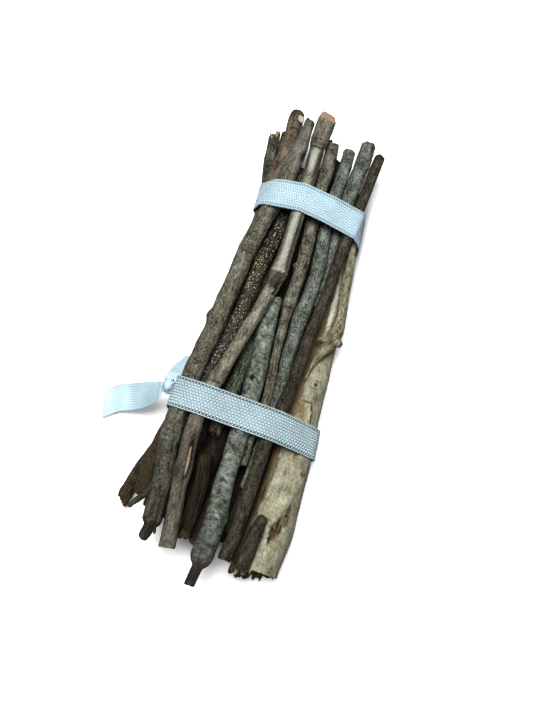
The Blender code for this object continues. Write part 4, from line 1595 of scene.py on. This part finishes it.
def smooth_rows(rows: Array, count: int) -> Array:
    """Reads a smooth curve through rows of points at even steps.

    Args:
        rows: control points, of any shape after the first axis.
        count: number of points to read.

    Returns:
        The points on the curve.
    """
    padded = np.concatenate([2 * rows[:1] - rows[1:2], rows, 2 * rows[-1:] - rows[-2:-1]])
    found = []
    for t in np.linspace(0, len(rows) - 1, count):
        i = min(int(t), len(rows) - 2)
        u = t - i
        a, b, c, d = padded[i : i + 4]
        found.append(
            0.5 * (2 * b + (c - a) * u + (2 * a - 5 * b + 4 * c - d) * u * u + (3 * b - a - 3 * c + d) * u**3)
        )
    return np.array(found)


@dataclass
class ElasticTail(ElasticStrip):
    """A slack end of the elastic, between two edges given as pairs of points in mm.

    Attributes:
        node: the CAD node that it replaces.
        edges: pairs of points on its two edges, from the knot outwards.
        width: the elastic's own width, in mm; not used.
        diagonal: how strongly its ribs slant near its cut end.
    """

    node: str = "long_tail"
    edges: tuple[tuple[tuple[float, float, float], tuple[float, float, float]], ...] = ()
    held: str = "laid"
    width: float = 12.6
    diagonal: float = 0.0
    STEP = 0.45
    HOLLOWS = 0.55
    LEAST_SHARE = 0.31

    def build(self, with_pieces: Sequence[Piece] = ()) -> None:
        """Builds the tail.

        Args:
            with_pieces: what goes with it, such as the knot that it comes out of; not used.
        """
        pairs = np.array(self.edges)
        length = np.linalg.norm(np.diff(pairs.mean(1), axis=0), axis=1).sum()
        fine = smooth_rows(pairs, round(length / self.STEP))
        middles = fine.mean(1)
        across = (fine[:, 1] - fine[:, 0]) / 2
        out = unit(np.cross(np.gradient(middles, axis=0), across))
        if out[:, 2].sum() < 0:
            out = -out
        t = np.linspace(0, 1, len(middles))[:, None]
        ripple = 0.25 * np.sin(t * 9.0) * (1 - t) + 0.18 * np.sin(t * 17.0 + 1.0) * (1 - t)
        middles = middles + out * (self.thick / 2 + ripple)
        piece = self.net(middles, across, out, closed=False, diagonal=self.diagonal)
        self.shade_ribs(piece, len(middles), self.HOLLOWS)
        put_on_root(piece, self.node)


@dataclass
class Knot(ElasticStrip):
    """The knot on the lower band: a folded core with turns of the strip wrapped round it.

    Attributes:
        node: the CAD node that it replaces, whose box gives its place and size.
    """

    node: str = "band_knot"
    FOLDS = 7
    ROWS = 26
    AROUND = 48
    CORE = 0.9
    FOLD_DEPTH = 0.22
    CLEARANCE = 0.93
    TURNS = ((0.35, 62.0, 0.55), (-0.45, 118.0, 0.5), (0.0, 20.0, 0.45))

    def build(self) -> Piece:
        """Builds the knot.

        Returns:
            The finished piece.
        """
        low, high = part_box(self.node)
        middle = np.array((low + high) / 2) / MM
        half = np.array((high - low) / 2) / MM * self.CLEARANCE
        rows, count = self.ROWS, self.AROUND
        points = [middle + half * (0, 0, -1)]
        hollows = [0.0]
        for row in range(1, rows):
            tilt = math.pi * row / rows - math.pi / 2
            for i in range(count):
                turn = 2 * math.pi * i / count
                valley = abs(math.sin(self.FOLDS * (turn / 2 + 0.35 * math.sin(tilt * 2)))) * math.cos(tilt)
                fold = 1 - self.FOLD_DEPTH * valley
                hollows.append(valley**2)
                level = math.cos(tilt)
                way = np.array((math.cos(turn) * level, math.sin(turn) * level, math.sin(tilt)))
                points.append(middle + way * half * fold * self.CORE)
        points.append(middle + half * (0, 0, 0.92))
        hollows.append(0.0)
        piece = new_piece(f"{self.node}_folds", np.array(points), tube_faces(rows - 1, count))
        face_outwards(piece)
        piece.data.materials.append(self.finish.material())
        # The valleys of the folds get painted shade through the gap attribute.
        store(piece, "gap", np.array(hollows))
        wraps = [self.wrap(middle, half, *turn) for turn in self.TURNS]
        with bpy.context.temp_override(active_object=piece, selected_editable_objects=[piece, *wraps]):
            bpy.ops.object.join()
        put_on_root(piece, self.node)
        return piece

    def wrap(self, middle: Array, half: Array, rise: float, tilt: float, wide: float) -> Piece:
        """One turn of the gathered strip round the core.

        Args:
            middle: the knot's centre, in mm.
            half: its half sizes, in mm.
            rise: where the turn sits along Y, as a share of the half size.
            tilt: its slope from level, in degrees.
            wide: its half width as a share of the half size.

        Returns:
            The turn as an object.
        """
        turns = np.linspace(0, 2 * math.pi, 64, endpoint=False)
        lean = Matrix.Rotation(math.radians(tilt), 3, "X")
        axis = np.array(lean @ Vector((0, 0, 1)))
        places, outs, acrosses = [], [], []
        for turn in turns:
            way = np.array(lean @ Vector((math.cos(turn), math.sin(turn), 0)))
            places.append(middle + way * half * 0.95 + axis * half * rise * 0.6)
            outs.append(way)
            acrosses.append(axis * half[0] * wide)
        strip = ElasticStrip(f"{self.node}_turn", self.finish, wales=4, thick=0.6, rib=0.3)
        made = strip.net(np.array(places), np.array(acrosses), np.array(outs), closed=True)
        strip.shade_ribs(made, len(turns), 1.0)
        return made


def crack_patch(y: float, turn: float) -> tuple[Mark, ...]:
    """A patch of short cracks in flaking bark, mostly lengthwise.

    Args:
        y: the patch's middle, in mm.
        turn: its middle round the stick, in degrees.

    Returns:
        The cracks and the brown patches under them.
    """
    cracks, reach = 30, 7.4
    random = np.random.default_rng(8)
    marks = [Mark(MarkKind.WARM, y + 3.6, turn - 8.0, 3.6, 2.4, -0.1, 0.6)]
    marks.append(Mark(MarkKind.WARM, y - 3.4, turn + 8.0, 3.6, 2.2, -0.1, 0.6))
    for number in range(cracks):
        up, side = random.uniform(-1.0, 1.0), random.uniform(-1.0, 1.0)
        place = (y + reach * up, turn - 16.0 * up + 15.0 * side * (1.2 - abs(up)))
        length = random.uniform(0.9, 2.6)
        size = (0.4, 1.2) if number % 4 == 0 else (length, 0.42)
        marks.append(Mark(MarkKind.DARK, *place, *size, -0.35, random.uniform(0.5, 0.95)))
    return tuple(marks)


def twigs() -> tuple[Stick, ...]:
    """Lists the sticks with their barks, ends and marks, the lowest in the bundle first.

    Returns:
        The sticks, each with a seed of its own.
    """
    swell, scar, dark, pale, warm = MarkKind
    coarse: dict[str, Any] = {"around": 32, "step": 0.9}
    return (
        Stick("far_left_twig", FLAKING, 1, butt=EndKind.TORN, around=34),
        Stick("floor_twig_1", DARK, 2, **coarse),
        Stick("floor_twig_2", GREY_DARK, 3, **coarse),
        Stick("floor_twig_3", RUSSET, 4, **coarse),
        Stick("floor_twig_4", SHADED_TAN, 5, **coarse),
        PaleLog(
            "pale_log", LOG_BARK, 6, butt=EndKind.SPLIT, around=160, lump=0.03, margins=(8.0, 4.0),
            marks=(
                *crack_patch(-70.5, 67.0), Mark(warm, -49, 42, 1.5, 1.8, -0.2, 0.9),
                Mark(dark, -49, 44, 0.5, 1.0, -0.2, 0.5), Mark(dark, -61, 138, 3.6, 0.4, -0.3, 0.8),
                Mark(dark, -11.6, 69, 1.0, 0.8, -0.5, 0.9), Mark(dark, -9.6, 66, 0.25, 2.0, -0.1, 0.5),
                Mark(dark, -13.4, 72, 0.25, 2.4, -0.1, 0.5), Mark(warm, -23.0, 96, 2.2, 1.7, -0.4, 0.9),
                Mark(warm, -25.5, 80, 3.0, 1.2, -0.3, 0.7), Mark(pale, -25.0, 72, 2.6, 1.4, 0.1, 0.6),
                Mark(dark, -19.6, 82, 0.35, 2.6, -0.35, 0.8), Mark(dark, -21.8, 64, 1.7, 0.4, -0.4, 0.8),
                Mark(dark, -25.6, 57, 2.6, 0.4, -0.4, 0.8), Mark(warm, -17.0, 60, 1.6, 1.0, 0.0, 0.5),
                Mark(warm, 2, 104, 12.0, 0.6, 0.0, 0.4), Mark(pale, 24, 84, 11.0, 1.1, 0.3, 1.0),
                Mark(warm, 2, 60, 5.0, 2.2, 0.0, 0.3), Mark(swell, -49, 42, 4.0, 4.0, 0.5),
            ),
        ),
        Stick("thin_grey_twig", GREY, 7, around=28),
        Stick("mossy_twig", MOSSY, 8, top=EndKind.SPLIT, around=34),
        Stick("middle_twig_1", DARK, 9, **coarse),
        Stick("middle_twig_2", RUSSET, 10, **coarse),
        Stick("russet_twig", RUSSET, 11, around=36, marks=(Mark(warm, -80, 90, 10, 9, 0.0, 0.5),)),
        Stick("middle_twig_3", GREY_DARK, 12, **coarse),
        Stick(
            "brown_twig", BROWN, 13, top=EndKind.ROUNDED, butt=EndKind.ROUNDED, margins=(3.0, 2.6),
            marks=(
                Mark(swell, 98.6, 60, 4.0, 3.5, 0.35), Mark(warm, -66, 90, 17, 14, 0.0, 0.8),
                # The broad dark mark at y -66 is painted shade, darker towards the lower end.
                Mark(dark, -66, 90, 17, 14, 0.0, 0.25), Mark(dark, 102.5, 95, 3.0, 14.0, 0.0, 0.4),
                Mark(dark, 93.4, 60, 0.4, 3.2, -0.25, 0.7), Mark(dark, 91.8, 72, 0.35, 2.6, -0.2, 0.5),
                Mark(dark, 90.4, 66, 0.35, 2.0, -0.2, 0.4), Mark(dark, 95.8, 100, 2.0, 0.4, -0.2, 0.5),
            ),
            stubs=(SideStub(98.4, 52, 8, 0.9, 1.5, 0.95),),
        ),
        Stick(
            "pale_torn_twig", TORN_WOOD, 14, top=EndKind.TORN, butt=EndKind.TORN, around=36, lump=0.09,
            marks=(
                Mark(swell, 9.5, 60, 3.2, 3.0, 0.5), Mark(dark, 6.8, 80, 1.1, 0.5, -0.3, 0.8),
                Mark(dark, 10.5, 40, 2.2, 0.4, -0.3, 0.7), Mark(warm, 8, 110, 3.2, 1.6, 0.0, 0.7),
                Mark(dark, 22, 60, 3.5, 0.35, -0.2, 0.5),
            ),
            stubs=(SideStub(9.7, 20, -20, 2.2, 1.7, 0.7), SideStub(8.2, 150, -25, 3.6, 1.3, 0.6)),
            bridged=((5.5, 12.6),),
        ),
        Stick(
            "ridged_twig", RIDGED, 15, top=EndKind.ROUNDED, butt=EndKind.TORN, around=64,
            marks=(Mark(warm, -55, 100, 3.0, 3.4, 0.0, 0.6),),
        ),
        Stick(
            "blunt_grey_twig", LICHEN, 16, top=EndKind.BLUNT, marks=(Mark(swell, 88, 10, 3.0, 2.0, 0.35),)
        ),
        Stick(
            "speckled_twig", SPECKLED, 17,
            marks=(
                Mark(swell, 31.7, 142, 4.0, 3.2, 0.7), Mark(swell, 2, 120, 3.0, 2.5, 0.35),
                # The long pale stripe at turn 84 is a painted highlight: a grey sheen streak without dots.
                Mark(pale, 2, 84, 32.0, 0.9, 0.1, 0.5), Mark(swell, 14, 96, 18.0, 1.0, 0.15),
            ),
        ),
        Stick("propping_twig", DARK, 18, **coarse),
        Stick(
            "lichen_twig", LICHEN, 19, top=EndKind.BLUNT,
            marks=(
                Mark(swell, 12.1, 90, 4.0, 6.0, 0.35), Mark(dark, 14.0, 95, 0.35, 3.0, -0.15, 0.55),
                Mark(dark, 11.6, 95, 0.35, 3.2, -0.15, 0.55), Mark(dark, 9.4, 95, 0.35, 2.6, -0.15, 0.5),
            ),
        ),
        Stick(
            "slim_grey_twig", GREY, 20, top=EndKind.TORN, around=36,
            marks=(Mark(swell, 14.4, 100, 2.4, 4.0, 0.35), Mark(dark, 13.6, 100, 0.4, 2.6, -0.1, 0.6)),
            stubs=(SideStub(30.2, 140, 40, 2.2, 1.1),), bridged=((27.5, 38.5),),
        ),
        Stick(
            "green_twig", GREEN, 21, butt=EndKind.TORN,
            marks=(Mark(pale, -44.4, 66, 1.8, 1.8, 0.4, 0.5), Mark(dark, -45.5, 120, 1.0, 1.4, -0.2, 0.8)),
        ),
        Stick(
            "lenticel_twig", LENTICEL, 22, butt=EndKind.SAWN, around=48,
            marks=(
                # The broad dark marks at y -102.5, -91.5 and -86 are painted shade, darker towards the butt.
                Mark(dark, -102.5, 90, 7.0, 30.0, 0.0, 0.8), Mark(dark, -91.5, 90, 9.0, 30.0, 0.0, 0.4),
                Mark(warm, -99.0, 60, 5.0, 6.0, 0.0, 0.5), Mark(dark, -86, 90, 16.0, 40.0, 0.0, 0.22),
                Mark(swell, -19.6, 105, 3.2, 3.6, 0.4), Mark(dark, -19.6, 107, 1.5, 1.1, -0.4, 0.95),
                Mark(swell, -76, 15, 2.4, 2.6, 0.8), Mark(swell, -91, 100, 3.4, 5.0, 0.3),
                Mark(dark, -91.5, 110, 0.5, 3.0, -0.2, 0.6), Mark(dark, -61.9, 105, 0.8, 1.3, -0.1, 0.8),
                Mark(dark, -69.5, 56, 0.8, 1.2, -0.1, 0.8), Mark(dark, -48.0, 100, 0.5, 1.4, -0.1, 0.6),
                Mark(dark, -80.0, 110, 0.5, 1.6, -0.1, 0.6),
            ),
        ),
        Stick(
            "grey_bark_twig", GREY, 23, butt=EndKind.ROUNDED, around=48,
            marks=(
                Mark(pale, 84, 90, 10.0, 30.0, 0.0, 0.3), Mark(pale, 90, 60, 3.0, 1.4, 0.0, 0.5),
                # The broad dark mark at y -76 is painted shade, darker towards the butt.
                Mark(dark, -76, 90, 24.0, 40.0, 0.0, 0.42), Mark(warm, 78.8, 33, 2.4, 1.3, -0.3, 0.8),
                Mark(dark, 79.0, 30, 1.8, 0.5, -0.3, 0.8), Mark(swell, -0.5, 170, 2.4, 2.6, 0.6),
                Mark(dark, -0.5, 160, 1.0, 1.0, -0.2, 0.6), Mark(swell, -52, 120, 4.4, 4.2, 0.55),
                Mark(pale, -52, 120, 3.6, 3.2, 0.0, 0.4), Mark(dark, -50.4, 118, 0.4, 2.8, -0.25, 0.7),
                Mark(dark, -52.6, 116, 0.4, 3.0, -0.25, 0.7), Mark(dark, -54.8, 118, 0.4, 2.4, -0.25, 0.6),
                Mark(dark, -81, 58, 8.0, 0.5, -0.7, 0.8), Mark(warm, -92, 90, 5.0, 9.0, 0.0, 0.8),
                Mark(dark, -86.4, 60, 0.9, 2.2, -0.3, 0.8),
            ),
            stubs=(
                SideStub(-70.3, 190, -49, 12.4, 1.6, 0.6, 0.0, 0.6),
                SideStub(-83.5, 20, -72, 3.4, 0.9, 0.5, 0.0, 0.6),
                SideStub(-82.5, 60, -76, 2.4, 0.8, 0.6, 0.0, 0.6),
                SideStub(-84.0, -30, -70, 2.2, 0.8, 0.5, 0.0, 0.6),
            ),
            bridged=((-84.0, -68.5),),
        ),
        Stick(
            "zigzag_twig", TAN, 24, top=EndKind.SAWN, butt=EndKind.SAWN, around=72, step=0.5, lump=0.04,
            slants=((0.0, 90.0), (0.38, 50.0)), margins=(3.0, 4.0),
            marks=(
                # The broad dark mark at y -76 is painted shade, darker towards the butt.
                Mark(warm, 94, 90, 9.0, 30.0, 0.0, 0.32), Mark(dark, -76, 90, 18.0, 30.0, 0.0, 0.42),
                Mark(warm, 84.8, 95, 1.1, 4.4, 0.0, 0.75), Mark(dark, 83.0, 95, 0.4, 5.0, -0.45, 0.95),
                Mark(dark, 86.4, 95, 0.25, 4.4, -0.1, 0.6), Mark(warm, 75.0, 42, 8.0, 1.4, 0.0, 0.6),
                Mark(warm, 75.0, 146, 8.0, 1.2, 0.0, 0.6), Mark(warm, 38.0, 48, 14.0, 1.2, 0.0, 0.5),
                Mark(warm, 38.0, 140, 14.0, 1.0, 0.0, 0.5), Mark(pale, 77.0, 95, 6.0, 1.3, 0.0, 0.8),
                Mark(dark, 78.0, 38, 9.0, 0.7, -0.2, 0.6), Mark(dark, 78.0, 150, 9.0, 0.5, -0.2, 0.6),
                Mark(pale, 40.0, 95, 17.0, 1.7, 0.0, 0.7), Mark(dark, 40.0, 45, 18.0, 0.6, -0.2, 0.5),
                Mark(swell, 26.0, 95, 2.4, 4.2, 0.35, 1.0, 4.0),
                Mark(pale, 24.9, 90, 0.5, 3.6, 0.5, 1.0, 4.0),
                Mark(warm, 20.4, 79, 3.3, 3.7, -1.2, 1.0, 6.0), Mark(dark, 20.4, 79, 2.9, 3.2, 0.0, 0.3),
                Mark(dark, 23.5, 82, 0.22, 3.4, -0.3, 0.75), Mark(pale, 16.2, 66, 1.3, 0.8, 0.5, 0.3, 4.0),
                Mark(dark, 15.8, 50, 2.0, 0.5, -0.4, 0.9), Mark(dark, 18.0, 40, 2.6, 0.9, -0.5, 0.85),
                Mark(dark, 15.8, 38, 1.9, 0.8, 0.2, 0.6), Mark(dark, 12.0, 30, 4.5, 0.45, -0.3, 0.7),
                Mark(swell, -24.5, 90, 1.6, 6.0, 0.3), Mark(dark, -26.6, 90, 0.6, 3.4, -0.1, 0.6),
                Mark(dark, -58.4, 58, 9.6, 1.45, -0.5, 0.9, 3.0),
                Mark(scar, -59.6, 63, 6.6, 0.75, 0.3, 0.85), Mark(dark, -65.2, 100, 3.8, 3.0, 0.0, 0.55),
                Mark(swell, -62, 110, 4.0, 4.0, 0.35), Mark(warm, -50, 90, 14, 12, 0.0, 0.5),
                Mark(dark, -70, 60, 6.0, 0.4, -0.3, 0.6),
            ),
            stubs=(SideStub(16.2, 30, -40, 0.7, 1.0, 0.6, 0.0),),
        ),
        Stick(
            "purple_twig", PURPLE, 25, top=EndKind.ROUNDED, butt=EndKind.SAWN,
            marks=(Mark(swell, -20, 100, 2.0, 4.0, 0.15),),
        ),
        Stick("log_side_branch", STUMP, 26, top=EndKind.ROUNDED, butt=EndKind.SAWN, around=40),
    )


@dataclass(frozen=True)
class Studio:
    """Pale floor, soft light and the photograph's camera. Powers are in watts, places in metres."""

    floor_colour: str = "#fdfdfd"
    # Under the bundle the floor is painted dark as a shadow, and its glow ends there.
    painted_shadow_colour: str = "#4a463d"
    floor_glow: float = 0.35
    contrast: float = 0.77
    shadow_patch_middle: tuple[float, float, float] = (0.014, 0.0, 0.0)
    shadow_patch_reach: tuple[float, float, float] = (0.03, 0.11, 1.0)
    glow_edge: tuple[float, float] = (0.55, 1.0)
    colour_edge: tuple[float, float] = (0.45, 0.75)
    sky_strength: float = 0.1
    key_power: float = 8.0
    key_place: tuple[float, float, float] = (-0.06, 0.08, 0.74)
    key_size: float = 0.32
    fill_power: float = 0.8
    fill_place: tuple[float, float, float] = (0.30, -0.2, 0.6)
    fill_size: float = 0.5

    def build(self) -> None:
        """Builds the floor, the lights, the sky and the camera."""
        bpy.ops.mesh.primitive_plane_add(size=6.0)
        floor = bpy.context.active_object
        floor.name = "floor"
        material, tree, shader = new_material("pale_studio_floor")
        shader.inputs["Roughness"].default_value = 0.9
        shader.inputs["Specular IOR Level"].default_value = 0.0
        shader.inputs["Emission Color"].default_value = linear(self.floor_colour)
        # The glow and the pale colour end under the bundle, where the floor is painted dark as a shadow, so
        # that the gaps between the sticks stay dark.
        vector, ramp = "ShaderNodeVectorMath", "ShaderNodeValToRGB"
        place = add_node(tree, "ShaderNodeTexCoord").outputs["Object"]
        moved = add_node(tree, vector, {0: place, 1: self.shadow_patch_middle}, {"operation": "SUBTRACT"}).outputs[0]
        shrunk = add_node(tree, vector, {0: moved, 1: self.shadow_patch_reach}, {"operation": "DIVIDE"}).outputs[0]
        squared = add_node(tree, vector, {0: shrunk, 1: shrunk}, {"operation": "MULTIPLY"}).outputs[0]
        away = {0: add_node(tree, vector, {0: squared}, {"operation": "LENGTH"}).outputs["Value"]}
        for socket, edge, ends in (
            ("Emission Strength", self.glow_edge, (0.0, self.floor_glow)),
            ("Base Color", self.colour_edge, (self.painted_shadow_colour, self.floor_colour)),
        ):
            fade = add_node(tree, ramp, away, stops=tuple(zip(edge, ends))).outputs[0]
            tree.links.new(fade, shader.inputs[socket])
        floor.data.materials.append(material)
        # The photograph's ground is cut out, so the floor throws no light back on the sticks' undersides.
        floor.visible_diffuse = False
        world = bpy.data.worlds.new("soft_sky")
        world.use_nodes = True
        background = world.node_tree.nodes["Background"]
        background.inputs["Color"].default_value = (1.0, 1.0, 1.0, 1.0)
        background.inputs["Strength"].default_value = self.sky_strength
        bpy.context.scene.world = world
        aim = Vector(LOOK_AT) * MM
        for name, power, place, size in (
            ("key_light", self.key_power, self.key_place, self.key_size),
            ("fill_light", self.fill_power, self.fill_place, self.fill_size),
        ):
            light = bpy.data.lights.new(name, "AREA")
            light.energy = power
            light.size = size
            lamp = bpy.data.objects.new(name, light)
            lamp.location = place
            lamp.rotation_mode = "QUATERNION"
            lamp.rotation_quaternion = (aim - Vector(place)).to_track_quat("-Z", "Y")
            bpy.context.scene.collection.objects.link(lamp)
        self.camera(aim)
        look = bpy.context.scene.view_settings
        look.view_transform = "Standard"
        look.gamma = self.contrast

    def camera(self, aim: Vector) -> None:
        """Sets the photograph's camera.

        Args:
            aim: the point that it looks at, in metres.
        """
        data = bpy.data.cameras.new("photo_camera")
        data.sensor_width = 36.0
        data.lens = FOCAL_PIXELS / max(PHOTO_WIDTH, PHOTO_HEIGHT) * data.sensor_width
        data.clip_start, data.clip_end = 0.01, 20.0
        turn, rise = math.radians(CAMERA_AZIMUTH), math.radians(CAMERA_ELEVATION)
        back = Vector((math.sin(turn) * math.cos(rise), -math.cos(turn) * math.cos(rise), math.sin(rise)))
        eye = bpy.data.objects.new("photo_camera", data)
        eye.location = aim + back * CAMERA_DISTANCE * MM
        eye.rotation_mode = "QUATERNION"
        eye.rotation_quaternion = (-back).to_track_quat("-Z", "Y")
        bpy.context.scene.collection.objects.link(eye)
        bpy.context.scene.camera = eye


LONG_TAIL_EDGES = (
    ((-21.65, -32.0, 23.5), (-20.95, -38.0, 22.5)),
    ((-24.75, -32.2, 20.0), (-23.15, -41.2, 18.5)),
    ((-30.95, -33.5, 13.5), (-27.15, -43.8, 12.5)),
    ((-37.65, -35.1, 7.0), (-33.05, -46.1, 6.5)),
    ((-43.55, -37.1, 3.2), (-39.25, -48.3, 3.0)),
    ((-48.25, -41.5, 1.3), (-45.25, -52.9, 1.1)),
)
TUCKED_TAIL_EDGES = (
    ((-21.6, -31.2, 26.6), (-18.3, -31.4, 27.2)),
    ((-21.1, -29.6, 26.8), (-17.0, -29.6, 27.4)),
    ((-20.5, -28.0, 26.4), (-15.1, -27.6, 26.9)),
    ((-20.5, -26.2, 25.0), (-14.6, -25.2, 25.2)),
    ((-19.9, -24.0, 23.5), (-14.2, -22.6, 23.7)),
    ((-18.75, -21.5, 22.0), (-14.0, -19.9, 22.3)),
    ((-17.55, -18.7, 20.6), (-13.8, -17.0, 21.0)),
)


def main() -> None:
    """Builds every piece of the bundle, then the studio."""
    logging.basicConfig(level=logging.INFO, format="%(name)s: %(message)s")
    relief = bark_relief_group()
    for stick in twigs():
        stick.build(relief)
    stitches = knit_group()
    ElasticBand("upper_band", UPPER_ELASTIC, node="upper_band", course=1.12).build(stitches)
    ElasticBand("lower_band", LOWER_ELASTIC, node="lower_band", course=1.45).build(stitches)
    knot = Knot("band_knot", LIT_LOOSE_ELASTIC).build()
    ElasticTail("long_tail", LIT_LOOSE_ELASTIC, edges=LONG_TAIL_EDGES, diagonal=1.0).build([knot])
    name = "tucked_tail"
    ElasticTail(name, SHADED_TUCKED_ELASTIC, 5, node=name, edges=TUCKED_TAIL_EDGES, held="hung").build()
    Studio().build()


if __name__ == "__main__":
    main()
